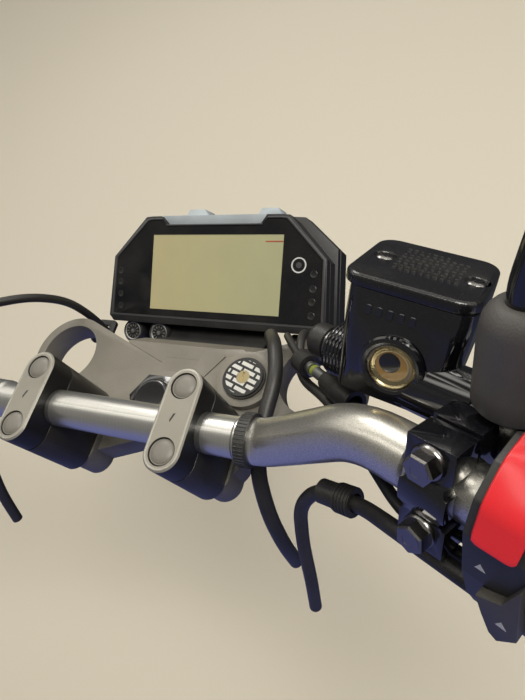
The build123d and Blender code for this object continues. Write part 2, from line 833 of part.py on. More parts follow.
def make_pivot_pin():
    """Pivot bolt through the lever and its two ears."""
    gap = lever_thick / 2 + ear_gap + 6
    pin = slab(Pos(pivot_ahead, pivot_at) * Circle(pivot_pin), pivot_up - gap, pivot_up + gap)
    head = slab(Pos(pivot_ahead, pivot_at) * Circle(7), pivot_up + gap, pivot_up + gap + 3)
    return pin + head


# Outline of a switch housing, clockwise from the rider's side: ahead, up
HOUSING_EDGE = (
    (-24.0, -4.0),
    (-24.0, 14.0),
    (-19.0, 24.0),
    (-9.0, 31.0),
    (3.0, 33.0),
    (12.5, 24.6),
    (22.0, 10.0),
    (22.0, -14.0),
    (4.0, -32.0),
    (-16.0, -32.0),
    (-21.0, -20.0),
)
# Outer side of the red rocker, from its lower edge over the top: ahead, up
ROCKER_EDGE = (
    (-25.6, 14.8),
    (-22.8, 20.4),
    (-19.4, 26.2),
    (-10.3, 33.4),
    (-3.4, 35.2),
    (2.4, 36.1),
    (3.4, 30.0),
    (-16.0, 20.0),
)
# Outline of the starter's paddle on the rider's side: up, out along the grip
PADDLE_EDGE = (
    (-5.9, 66.7),
    (-13.0, 68.7),
    (-20.7, 71.5),
    (-22.5, 74.1),
    (-15.7, 79.8),
    (9.8, 79.2),
    (-2.0, 74.5),
)


def housing_shape(grow):
    """Outline of a switch housing with its edge moved out by grow."""
    shape = make_face(Polyline(*HOUSING_EDGE, close=True))
    shape = fillet(shape.vertices(), 3)
    return offset(shape, grow) if grow else shape


def make_housing():
    """Switch housing round the bar, in the grip's space."""
    body = rise_from(housing_shape(0), housing_inner, housing_outer)
    return body - rod(Vector(0, 0, 0), Vector(0, 0, 300), bar_radius + seat)


def off_housing(shape):
    """A switch's body with the housing's room taken out of it."""
    return shape - rise_from(housing_shape(seat), housing_inner, housing_outer)


def make_stop_switch():
    """Red rocker over the slanted rider's side of the right housing, wider at its top."""
    shape = make_face(Polyline(*ROCKER_EDGE, close=True))
    body = rise_from(shape, housing_inner + rocker_start, housing_inner + rocker_end)
    low_side = Pos(-40, 0, housing_inner + rocker_step) * Box(
        60, rocker_step_up, 60, align=(Align.MIN, Align.MIN, Align.MIN)
    )
    return off_housing(body - low_side)


def make_starter():
    """Grey paddle low on the rider's side of the right housing."""
    outline = make_face(Polyline(*PADDLE_EDGE, close=True))
    paddle = extrude(Plane.YZ * outline, amount=paddle_thick)
    return off_housing(Pos(-paddle_face, 0, 0) * paddle)


def make_left_buttons():
    """Indicator slider, horn button and beam rocker on the rider's side of the left housing."""
    middle = (housing_inner + housing_outer) / 2
    slider = Pos(-paddle_face, 5, middle) * Box(9, 8, 15)
    slider = fillet(slider.edges().filter_by(Axis.X), 2)
    horn = rod(Vector(-paddle_face - 3, -14, middle), Vector(-16, -14, middle), 6.5)
    rocker = Pos(-20, 25, middle) * Rot(0, 0, 44) * Box(14, 8, 14)
    return [off_housing(shape) for shape in (slider, horn, rocker)]


def make_throttle():
    """Twist tube on the bar and the rubber grip over it."""
    tube = Circle(tube_radius) - Circle(bar_radius + tube_play)
    body = rise_from(tube, housing_outer + turn_gap, grip_leg - 1.0)
    flange = Circle(grip_collar - 0.5) - Circle(bar_radius + tube_play)
    body += rise_from(flange, housing_outer + turn_gap, housing_outer + turn_gap + 3)
    sleeve = Circle(grip_radius) - Circle(tube_radius + 0.02)
    rubber = rise_from(sleeve, housing_outer + turn_gap + 3, grip_leg - 1.5)
    collar = Circle(grip_collar) - Circle(tube_radius + 0.02)
    rubber += rise_from(collar, housing_outer + turn_gap + 3, housing_outer + turn_gap + 8)
    return body, rubber


def make_left_grip():
    """Rubber grip straight on the bar."""
    sleeve = Circle(grip_radius) - Circle(bar_radius + 0.02)
    rubber = rise_from(sleeve, housing_outer + seat, grip_leg - 1.0)
    collar = Circle(grip_collar) - Circle(bar_radius + 0.02)
    return rubber + rise_from(collar, housing_outer + seat, housing_outer + 6)


def make_bar_end():
    """Balance weight closing the end of the bar."""
    weight = rod(Vector(0, 0, grip_leg + seat), Vector(0, 0, grip_leg + end_length), end_radius)
    weight = chamfer(weight.edges().group_by(Axis.Z)[-1], 3)
    return weight + rod(
        Vector(0, 0, grip_leg - 20), Vector(0, 0, grip_leg + seat), bar_radius - bar_wall - seat
    )


# Outer side of the mirror's boot: radius, height above the boss
BOOT_EDGE = (
    (14.8, 0.0),
    (14.4, 9.0),
    (13.6, 24.0),
    (12.9, 30.0),
    (11.4, 34.0),
    (8.6, 36.6),
    (7.4, 37.0),
)


def make_boot():
    """Rubber boot over the mirror stem's thread."""
    bore = stem_rod + seat
    outline = Polyline((bore, 0), *BOOT_EDGE, (bore, BOOT_EDGE[-1][1]), close=True)
    shape = revolve(Plane.XZ * make_face(outline), Axis.Z)
    upright = Plane(origin=(mirror_ahead, boot_base, mirror_at), z_dir=(0, 1, 0))
    return upright.location * shape


# The mirror stem's last bend and the ball that carries the mirror's head, in the grip's space
MIRROR_ELBOW = Vector(mirror_ahead - 4, 118, 92)
MIRROR_BALL = Vector(mirror_ahead - 10, 150, 130)
# Outline of the mirror's head: across, up
MIRROR_EDGE = (
    (-70.0, -18.0),
    (-58.0, 34.0),
    (20.0, 44.0),
    (66.0, 30.0),
    (75.0, -4.0),
    (58.0, -40.0),
    (-40.0, -44.0),
)


def make_mirror_stem():
    """Bent rod from the boss up to the ball behind the mirror head."""
    points = [
        Vector(mirror_ahead, boot_base, mirror_at),
        Vector(mirror_ahead, boot_top + 5, mirror_at),
        Vector(mirror_ahead - 1, 98, mirror_at + 7.5),
        MIRROR_ELBOW,
        MIRROR_BALL,
    ]
    path = FilletPolyline(*points, radius=[stem_bend] * (len(points) - 2))
    tube = sweep(Plane(origin=path @ 0, z_dir=path % 0) * Circle(stem_rod), path=path)
    return tube + Pos(MIRROR_BALL.X, MIRROR_BALL.Y, MIRROR_BALL.Z) * Sphere(ball_radius)


def make_mirror_head():
    """Mirror shell, hollowed round the stem's ball, and its glass."""
    spot = place(MIRROR_BALL.X, MIRROR_BALL.Y, MIRROR_BALL.Z)
    view = Vector(-0.28, -0.84, 0.46).normalized()
    side = Vector(0.95, -0.22, 0.18)
    side = (side - view * side.dot(view)).normalized()
    plane = Plane(origin=spot + side * 34 + view * 6, x_dir=side, z_dir=view)
    outline = make_face(Polyline(*MIRROR_EDGE, close=True))
    outline = fillet(outline.vertices(), 14)
    shell = loft([Pos(0, 0, 6) * outline.face(), Pos(0, 0, -16) * offset(outline, -14).face()])
    shell -= rise_from(offset(outline, -2.5), 2.4, 8)
    glass = rise_from(offset(outline, -2.8), 2.4, 5.4)
    shell = plane.location * shell
    glass = plane.location * glass
    socket = Pos(spot.X, spot.Y, spot.Z) * Sphere(ball_radius + 0.1)
    mouth = rod(spot, place(MIRROR_ELBOW.X, MIRROR_ELBOW.Y, MIRROR_ELBOW.Z), stem_rod + 2.5)
    shell -= socket
    return shell - mouth, glass


def main_pieces():
    """Everything fixed to the yoke and the bar's middle."""
    save("handlebar", make_handlebar())
    save("top_yoke", make_yoke())
    save("stem_nut", make_stem_nut())
    lock_body, lock_disc, lock_key = make_lock()
    save("ignition_lock", lock_body)
    save("lock_face", lock_disc)
    save("lock_key_barrel", lock_key)
    for word, side in (("left", -1), ("right", 1)):
        save(f"bar_cap_{word}", make_cap(side))
    save("bar_holders", [make_holder(-1), make_holder(1)])
    save("clamp_plugs", make_plugs())
    save("loom_band", make_loom_band())
    case, panel, screen, knobs = make_meter()
    save("meter_case", case)
    save("meter_panel", panel)
    save("meter_screen", screen)
    save("meter_knobs", knobs)
    save("meter_hood", make_hood())
    save("meter_stay", make_meter_stay())
    save("lock_cowl", make_cowl())


def control_pieces():
    """Both grips' controls, levers and mirrors."""
    save("brake_cylinder", make_brake())
    save("reservoir_lid", make_lid())
    ring, window = make_sight_glass()
    save("sight_ring", ring)
    save("sight_window", window)
    saddle, bolts = make_saddle()
    lever = make_lever()
    pin = make_pivot_pin()
    housing = make_housing()
    boot = make_boot()
    stem = make_mirror_stem()
    head, glass = make_mirror_head()
    end = make_bar_end()
    for word, hand in (("right", lambda shape: shape), ("left", to_left)):
        save(f"control_clamp_{word}", hand(on_grip(saddle)))
        save(f"switch_{word}", hand(on_grip(housing)))
        save(f"mirror_boot_{word}", hand(on_grip(boot)))
        save(f"mirror_stem_{word}", hand(on_grip(stem)))
        save(f"mirror_head_{word}", hand(head))
        save(f"mirror_glass_{word}", hand(glass))
        save(f"bar_end_{word}", hand(on_grip(end)))
    bolts = [on_grip(bolt) for bolt in bolts]
    save("clamp_bolts", bolts + [to_left(bolt) for bolt in bolts])
    save("lever_pins", [on_grip(pin), to_left(on_grip(pin))])
    save("left_buttons", [to_left(on_grip(shape)) for shape in make_left_buttons()])
    save("brake_lever", on_grip(lever))
    save("clutch_lever", to_left(on_grip(lever)))
    save("clutch_perch", to_left(on_grip(make_perch())))
    save("stop_switch", on_grip(make_stop_switch()))
    save("starter_switch", on_grip(make_starter()))
    tube, rubber = make_throttle()
    save("throttle_tube", on_grip(tube))
    save("grip_right", on_grip(rubber))
    save("grip_left", to_left(on_grip(make_left_grip())))


def cable_pieces():
    """Hoses, cables and looms, each with its end fitting."""
    for name, (radius, points) in cable_routes().items():
        save(name, cord(points, radius))
    save("hose_union", make_union())
    save("cable_rod", make_cable_rod())
    save("loom_joints", make_loom_joints())
    save("clutch_adjuster", to_left(on_grip(make_adjuster())))
    right_guide = make_guide(1, 84, 42, RIGHT_GUIDE_HOLES)
    left_guide = make_guide(-1, 106, 20, ((-105.4, 71.0, 4.0),))
    save("cable_guides", [right_guide, left_guide])


main_pieces()
control_pieces()
cable_pieces()
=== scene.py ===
import contextlib
import functools
import json
import logging
import math
from dataclasses import dataclass
from enum import Enum
from typing import Iterable, Iterator, Sequence, Union

import bmesh
import bpy
from bpy.types import ID, Material, Mesh, Node, NodeSocket, NodeTree, Object
from mathutils import Matrix, Vector


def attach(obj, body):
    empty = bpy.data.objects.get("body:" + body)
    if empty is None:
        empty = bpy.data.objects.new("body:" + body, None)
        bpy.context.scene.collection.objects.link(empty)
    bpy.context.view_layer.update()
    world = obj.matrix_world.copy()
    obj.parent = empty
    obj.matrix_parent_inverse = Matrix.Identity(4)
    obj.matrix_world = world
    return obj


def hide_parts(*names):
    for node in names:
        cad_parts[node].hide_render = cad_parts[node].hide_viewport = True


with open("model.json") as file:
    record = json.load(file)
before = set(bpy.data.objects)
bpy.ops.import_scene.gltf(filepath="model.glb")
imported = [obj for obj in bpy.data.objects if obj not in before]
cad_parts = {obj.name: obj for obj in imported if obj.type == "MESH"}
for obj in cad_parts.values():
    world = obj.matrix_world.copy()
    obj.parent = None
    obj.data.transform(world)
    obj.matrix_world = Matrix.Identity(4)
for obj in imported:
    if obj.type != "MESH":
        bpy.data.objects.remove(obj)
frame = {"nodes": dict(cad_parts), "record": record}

LOG = logging.getLogger("cockpit")
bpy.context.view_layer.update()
COCKPIT = "cockpit"
MM_PER_METRE = 1000
MERGE_DISTANCE = 1e-6

Point = tuple[float, float, float]
Flat = tuple[float, float]
Colour = tuple[float, float, float]
Spot = tuple[Point, Point]
Feed = Union[NodeSocket, float, Sequence[float]]
Sockets = bpy.types.bpy_prop_collection

NO_TURN: Point = (0.0, 0.0, 0.0)
X_AXIS: Point = (1.0, 0.0, 0.0)
Y_AXIS: Point = (0.0, 1.0, 0.0)
Z_AXIS: Point = (0.0, 0.0, 1.0)


# Places

@dataclass(frozen=True)
class Space:
    """A local frame of the part. Sizes in it are millimetres, points out of it are metres."""

    origin: Point
    x: Point = X_AXIS
    z: Point = Z_AXIS
    left: bool = False

    def matrix(self) -> Matrix:
        """The way out of this frame.

        Returns:
            The matrix from its millimetres to the part's metres.
        """
        up = Vector(self.z).normalized()
        across = Vector(self.x)
        across = (across - up * across.dot(up)).normalized()
        turned = Matrix((across, up.cross(across), up)).transposed().to_4x4()
        shift = Matrix.Translation(Vector(self.origin) / MM_PER_METRE)
        placed = shift @ turned @ Matrix.Scale(1 / MM_PER_METRE, 4)
        return Matrix.Scale(-1, 4, X_AXIS) @ placed if self.left else placed

    def within(self, at: Point, x: Point = X_AXIS, z: Point = Z_AXIS) -> "Space":
        """A frame inside this one.

        Args:
            at: its origin, in this frame.
            x: its first axis, in this frame.
            z: its third axis, in this frame.

        Returns:
            The new frame, on the same side of the part.
        """
        right = Space(self.origin, self.x, self.z).matrix()
        spin = right.to_3x3() * MM_PER_METRE
        spot = right @ Vector(at) * MM_PER_METRE
        return Space(tuple(spot), tuple(spin @ Vector(x)), tuple(spin @ Vector(z)), self.left)

    def on_left(self) -> "Space":
        """Returns: the same frame on the rider's left."""
        return Space(self.origin, self.x, self.z, True)


def grip_axes(rake: float, rise: float, pull: float) -> tuple[Point, Point]:
    """The right grip's axes, from the bar's angles in degrees.

    Args:
        rake: the controls' lean ahead.
        rise: the grip's climb outboard.
        pull: the grip's sweep towards the rider.

    Returns:
        The axis ahead and the axis outboard.
    """
    rake, rise, pull = (math.radians(turn) for turn in (rake, rise, pull))
    out = Vector((math.cos(rise) * math.cos(pull), -math.cos(rise) * math.sin(pull), math.sin(rise)))
    upright = Vector((0, math.sin(rake), math.cos(rake)))
    lift = (upright - out * upright.dot(out)).normalized()
    return tuple(lift.cross(out)), tuple(out)


AHEAD, OUT = grip_axes(25.0, 14.2, 25.0)
FACE_PITCH = math.radians(29.4)
TOP = Space((0, 0, 0))
GRIP = Space((150.0, -23.0, 105.0), AHEAD, OUT)
GRIPS = (("right", GRIP), ("left", GRIP.on_left()))
LID = Space((170.3, 40.7, 127.9), (0.969, -0.237, -0.068), (0.191, 0.547, 0.815))
FACE = Space((-2.0, 111.6, 18.3), X_AXIS, (0, -math.sin(FACE_PITCH), math.cos(FACE_PITCH)))


# Shader groups

class Socket(Enum):
    """Kinds of sockets on the shader groups."""

    NUMBER = "NodeSocketFloat"
    COLOUR = "NodeSocketColor"
    VECTOR = "NodeSocketVector"


def live(sockets: Sockets) -> list[NodeSocket]:
    """Returns: the sockets that a node's settings leave switched on."""
    return [one for one in sockets if one.enabled]


class Wiring:
    """Adds nodes to one tree and joins them."""

    def __init__(self, tree: NodeTree) -> None:
        """Args: tree: the node tree to add to."""
        self.tree = tree

    def add(self, kind: str, **settings: object) -> Node:
        """A new node.

        Args:
            kind: the node's type name.
            settings: attributes to set on it.

        Returns:
            The node.
        """
        node = self.tree.nodes.new(kind)
        for name, value in settings.items():
            setattr(node, name, value)
        return node

    def join(self, source: NodeSocket, target: NodeSocket) -> None:
        """Links source to target."""
        self.tree.links.new(source, target)

    def feed(self, target: NodeSocket, value: Feed) -> None:
        """Gives an input what it takes.

        Args:
            target: the input.
            value: a socket to link, or a number, vector or colour to set.
        """
        if isinstance(value, NodeSocket):
            self.join(value, target)
        elif isinstance(value, (int, float)):
            target.default_value = value
        else:
            target.default_value = (*value, 1.0)[:len(target.default_value)]

    def place(self) -> NodeSocket:
        """Returns: the piece's own coordinates."""
        return self.add("ShaderNodeTexCoord").outputs["Object"]

    def split(self, vector: NodeSocket) -> Sockets:
        """Parts a vector.

        Args:
            vector: the vector.

        Returns:
            The outputs X, Y and Z.
        """
        node = self.add("ShaderNodeSeparateXYZ")
        self.join(vector, node.inputs[0])
        return node.outputs

    def math(self, operation: str, first: Feed, second: Feed = 0.0) -> NodeSocket:
        """A maths node.

        Args:
            operation: its operation.
            first: a socket or a number.
            second: a socket or a number, where the operation takes two.

        Returns:
            Its output socket.
        """
        node = self.add("ShaderNodeMath", operation=operation)
        self.feed(node.inputs[0], first)
        self.feed(node.inputs[1], second)
        return node.outputs[0]

    def spread(self, value: NodeSocket, low: float, high: float) -> NodeSocket:
        """Stretches a range of values to 0 to 1.

        Args:
            value: the values.
            low: what becomes 0.
            high: what becomes 1.

        Returns:
            The stretched values, held between 0 and 1.
        """
        node = self.add("ShaderNodeMapRange", clamp=True)
        for label, given in (("Value", value), ("From Min", low), ("From Max", high)):
            self.feed(node.inputs[label], given)
        return node.outputs["Result"]

    def blend(self, mask: Feed, first: Feed, second: Feed) -> NodeSocket:
        """Mixes two colours.

        Args:
            mask: a socket or a number, 0 for the first colour.
            first: a colour socket or a colour.
            second: a colour socket or a colour.

        Returns:
            The mixed colour.
        """
        node = self.add("ShaderNodeMix", data_type="RGBA")
        sockets = {one.name: one for one in live(node.inputs)}
        for label, given in (("Factor", mask), ("A", first), ("B", second)):
            self.feed(sockets[label], given)
        return live(node.outputs)[0]

    def noise(self, where: NodeSocket, scale: Feed, detail: float) -> NodeSocket:
        """Noise over space.

        Args:
            where: the coordinates.
            scale: a socket or a number, per metre.
            detail: how many finer layers it has.

        Returns:
            The noise value.
        """
        node = self.add("ShaderNodeTexNoise")
        for label, given in (("Vector", where), ("Scale", scale), ("Detail", detail)):
            self.feed(node.inputs[label], given)
        return node.outputs["Fac"]

    def group(self, tree: NodeTree, values: dict[str, Feed]) -> Sockets:
        """A shared group with its inputs set.

        Args:
            tree: the group.
            values: what each of its inputs takes.

        Returns:
            Its outputs.
        """
        node = self.add("ShaderNodeGroup", node_tree=tree)
        for label, given in values.items():
            self.feed(node.inputs[label], given)
        return node.outputs


def new_group(name: str, inputs: dict[str, Socket], outputs: dict[str, Socket]) -> tuple[Wiring, Sockets, Sockets]:
    """An empty shader group with its sockets.

    Args:
        name: the group's name.
        inputs: its input names and kinds.
        outputs: its output names and kinds.

    Returns:
        The wiring, the input sockets and the output sockets, by name.
    """
    tree = bpy.data.node_groups.new(name, "ShaderNodeTree")
    for side, sockets in (("INPUT", inputs), ("OUTPUT", outputs)):
        for label, kind in sockets.items():
            tree.interface.new_socket(label, in_out=side, socket_type=kind.value)
    wiring = Wiring(tree)
    entry = wiring.add("NodeGroupInput")
    leave = wiring.add("NodeGroupOutput")
    return wiring, entry.outputs, leave.inputs


def grain_group(broad_scale: float = 55.0) -> NodeTree:
    """The group for a surface's fine relief and its uneven sheen.

    Args:
        broad_scale: the sheen's patches, per metre.

    Returns:
        The group.
    """
    wiring, entry, leave = new_group(
        "surface_grain",
        {
            "Stretch": Socket.VECTOR, "Scale": Socket.NUMBER, "Depth": Socket.NUMBER,
            "Roughness": Socket.NUMBER, "Spread": Socket.NUMBER,
        },
        {"Normal": Socket.VECTOR, "Roughness": Socket.NUMBER},
    )
    place = wiring.place()
    stretch = wiring.add("ShaderNodeVectorMath", operation="MULTIPLY")
    wiring.join(place, stretch.inputs[0])
    wiring.join(entry["Stretch"], stretch.inputs[1])
    fine = wiring.noise(stretch.outputs[0], entry["Scale"], 2.0)
    broad = wiring.noise(place, broad_scale, 4.0)
    bump = wiring.add("ShaderNodeBump")
    bump.inputs["Strength"].default_value = 1.0
    wiring.join(entry["Depth"], bump.inputs["Distance"])
    wiring.join(fine, bump.inputs["Height"])
    wiring.join(bump.outputs["Normal"], leave["Normal"])
    uneven = wiring.math("MULTIPLY", wiring.math("SUBTRACT", broad, 0.5), entry["Spread"])
    wiring.join(wiring.math("ADD", entry["Roughness"], uneven), leave["Roughness"])
    return wiring.tree


def dust_group(speck_scale: float = 1600.0, cloud_scale: float = 38.0) -> NodeTree:
    """The group that lays fine dust and a few rub marks on the upper sides.

    Args:
        speck_scale: the specks, per metre.
        cloud_scale: the cloudy patches, per metre.

    Returns:
        The group.
    """
    wiring, entry, leave = new_group(
        "settled_dust",
        {"Colour": Socket.COLOUR, "Amount": Socket.NUMBER, "Tint": Socket.NUMBER},
        {"Colour": Socket.COLOUR, "Dust": Socket.NUMBER},
    )
    dust_colour = (0.46, 0.43, 0.38)
    place = wiring.place()
    normal = wiring.split(wiring.add("ShaderNodeNewGeometry").outputs["Normal"])
    upper = wiring.spread(normal["Z"], -0.1, 0.9)
    specks = wiring.spread(wiring.noise(place, speck_scale, 2.0), 0.56, 0.72)
    cloud = wiring.spread(wiring.noise(place, cloud_scale, 5.0), 0.38, 0.72)
    mask = wiring.math("MULTIPLY", wiring.math("ADD", wiring.math("MULTIPLY", cloud, 0.6), specks), upper)
    mask = wiring.math("MULTIPLY", mask, entry["Amount"])
    shade = wiring.math("MULTIPLY", cloud, entry["Tint"])
    varied = wiring.add("ShaderNodeHueSaturation")
    wiring.join(entry["Colour"], varied.inputs["Color"])
    wiring.join(wiring.math("SUBTRACT", 1.0, shade), varied.inputs["Value"])
    wiring.join(wiring.blend(mask, varied.outputs["Color"], dust_colour), leave["Colour"])
    wiring.join(mask, leave["Dust"])
    return wiring.tree


GRAIN = grain_group()
DUST = dust_group()


# Finishes

class Skin(Enum):
    """Reliefs: stretch along X, Y and Z, grains per metre, depth in metres, unevenness of sheen."""

    MOULDED = ((1.0, 1.0, 1.0), 2200.0, 0.00006, 0.12)
    CAST = ((1.0, 1.0, 1.0), 900.0, 0.00012, 0.14)
    SATIN = ((1.0, 1.0, 1.0), 3200.0, 0.00002, 0.10)
    TURNED = ((9.0, 1.0, 1.0), 700.0, 0.00003, 0.16)
    LACQUER = ((1.0, 1.0, 1.0), 260.0, 0.00001, 0.05)
    RUBBER = ((1.0, 1.0, 1.0), 1300.0, 0.00009, 0.10)


@dataclass(frozen=True)
class Finish:
    """One finish: its colour, sheen, relief and how dusty it is."""

    name: str
    colour: Colour
    skin: Skin
    roughness: float
    metallic: float = 0.0
    coat: float = 0.0
    dust: float = 0.25
    tint: float = 0.25
    specular: float = 0.5
    coat_roughness: float = 0.08

    def pattern(self, wiring: Wiring) -> Feed:
        """Returns: the colour under the dust, here a plain one."""
        return self.colour

    @functools.cache
    def material(self) -> Material:
        """The finish's material, with the shader fed by the two shared groups.

        Returns:
            The material, the same one each time.
        """
        made = bpy.data.materials.new(self.name)
        made.use_nodes = True
        made.diffuse_color = (*self.colour, 1.0)
        wiring = Wiring(made.node_tree)
        shader = made.node_tree.nodes["Principled BSDF"].inputs
        shader["Metallic"].default_value = self.metallic
        shader["Specular IOR Level"].default_value = self.specular
        shader["Coat Weight"].default_value = self.coat
        shader["Coat Roughness"].default_value = self.coat_roughness
        stretch, scale, depth, spread = self.skin.value
        grain = wiring.group(GRAIN, {
            "Stretch": stretch, "Scale": scale, "Depth": depth, "Roughness": self.roughness, "Spread": spread,
        })
        dust = wiring.group(DUST, {"Colour": self.pattern(wiring), "Amount": self.dust, "Tint": self.tint})
        dusty = wiring.math("MULTIPLY", dust["Dust"], 0.5)
        wiring.join(dust["Colour"], shader["Base Color"])
        wiring.join(wiring.math("ADD", grain["Roughness"], dusty), shader["Roughness"])
        wiring.join(grain["Normal"], shader["Normal"])
        return made


@dataclass(frozen=True)
class BarFinish(Finish):
    """Flake lacquer on the bends and bare turned metal; beside each clamp a darker band of fine stripes, drawn like
    knurling, is a painted reflection of the clamp in the bright metal.
    """

    # Where the painted reflection of the clamp starts and ends, in mm from the bar's middle.
    clamp_reflection_start: float = 38.0
    clamp_reflection_end: float = 64.5
    bright_end: float = 91.5
    ring_end: float = 93.5
    flake_scale: float = 3800.0
    line_scale: float = 30.0
    reflection_stripe_scale: float = 9000.0
    ring: Colour = (0.80, 0.78, 0.72)

    def pattern(self, wiring: Wiring) -> Feed:
        """The bar's colours, by the distance from its middle.

        Args:
            wiring: the material's wiring.

        Returns:
            The colour socket.
        """
        place = wiring.place()
        along = wiring.split(place)["X"]
        out = wiring.math("ABSOLUTE", along)
        flake = wiring.spread(wiring.noise(place, self.flake_scale, 1.0), 0.36, 0.70)
        colour = wiring.blend(flake, (0.48, 0.46, 0.41), (0.93, 0.90, 0.815))
        lines = wiring.add("ShaderNodeCombineXYZ")
        wiring.join(wiring.math("MULTIPLY", along, self.line_scale), lines.inputs["X"])
        turned = wiring.noise(lines.outputs[0], 60.0, 3.0)
        bare = wiring.blend(turned, (0.50, 0.49, 0.46), (0.84, 0.83, 0.78))
        # Painted reflection: fine dark stripes beside each clamp stand in for the clamp's reflection in the bar.
        rows = wiring.math("SINE", wiring.math("MULTIPLY", out, self.reflection_stripe_scale))
        clamp_reflection = wiring.blend(wiring.spread(rows, -1.0, 1.0), (0.24, 0.235, 0.22), (0.50, 0.49, 0.46))
        zones = (
            (self.ring_end, self.ring), (self.bright_end, bare),
            (self.clamp_reflection_end, clamp_reflection), (self.clamp_reflection_start, bare),
        )
        for end, zone in zones:
            colour = wiring.blend(wiring.math("LESS_THAN", out, end / MM_PER_METRE), colour, zone)
        return colour


@dataclass(frozen=True)
class StripedFinish(Finish):
    """Black disc with plain pale bars across its middle. Sizes are metres."""

    pale: Colour = (0.60, 0.59, 0.56)
    centre: Point = (0.055, 0.025, 0.029)
    lean: float = 19.0
    pitch: float = 0.0042
    first_row: float = 0.3
    bar_share: float = 0.6
    bar_length: float = 0.0105
    row_shift: float = 0.37
    gap_share: float = 0.16
    rim: float = 0.0118

    def pattern(self, wiring: Wiring) -> Feed:
        """Rows of pale bars, each row shifted, inside the rim.

        Args:
            wiring: the material's wiring.

        Returns:
            The colour socket.
        """
        turned = Matrix.Rotation(math.radians(self.lean), 3, "Z")
        turn = wiring.add("ShaderNodeMapping")
        wiring.join(wiring.place(), turn.inputs["Vector"])
        turn.inputs["Location"].default_value = -(turned @ Vector(self.centre))
        turn.inputs["Rotation"].default_value = (0.0, 0.0, math.radians(self.lean))
        parts = wiring.split(turn.outputs[0])
        x, y = parts["X"], parts["Y"]
        row = wiring.math("ADD", wiring.math("MULTIPLY", y, 1 / self.pitch), self.first_row)
        bar = wiring.math("LESS_THAN", wiring.math("FRACT", row), self.bar_share)
        shift = wiring.math("MULTIPLY", wiring.math("FLOOR", row), self.row_shift)
        across = wiring.math("ADD", wiring.math("MULTIPLY", x, 1 / self.bar_length), shift)
        gap = wiring.math("GREATER_THAN", wiring.math("FRACT", across), self.gap_share)
        squares = wiring.math("ADD", wiring.math("MULTIPLY", x, x), wiring.math("MULTIPLY", y, y))
        inside = wiring.math("LESS_THAN", wiring.math("SQRT", squares), self.rim)
        mask = wiring.math("MULTIPLY", wiring.math("MULTIPLY", bar, gap), inside)
        return wiring.blend(mask, self.colour, self.pale)


@dataclass(frozen=True)
class ScreenFinish(Finish):
    """Unlit display glass: pale, a little warmer at one side, with a faint grid."""

    specular: float = 0.6
    warm: Colour = (0.49, 0.43, 0.235)
    grid_colour: Colour = (0.30, 0.30, 0.20)
    grid_scale: float = 4200.0
    grid_share: float = 0.12

    def pattern(self, wiring: Wiring) -> Feed:
        """The glass colour from side to side.

        Args:
            wiring: the material's wiring.

        Returns:
            The colour socket.
        """
        place = wiring.place()
        side = wiring.spread(wiring.split(place)["X"], -0.06, 0.05)
        base = wiring.blend(side, self.warm, self.colour)
        grid = wiring.math("MULTIPLY", wiring.noise(place, self.grid_scale, 0.0), self.grid_share)
        return wiring.blend(grid, base, self.grid_colour)


@dataclass(frozen=True)
class TopFinish(Finish):
    """Pale top face over near-black sides, the colour changing at a set height."""

    side: Colour = (0.010, 0.010, 0.010)
    height: float = 84.2

    def pattern(self, wiring: Wiring) -> Feed:
        """Returns: the pale colour above the height, the dark one below it."""
        top = wiring.math("GREATER_THAN", wiring.split(wiring.place())["Z"], self.height / MM_PER_METRE)
        return wiring.blend(top, self.side, self.colour)


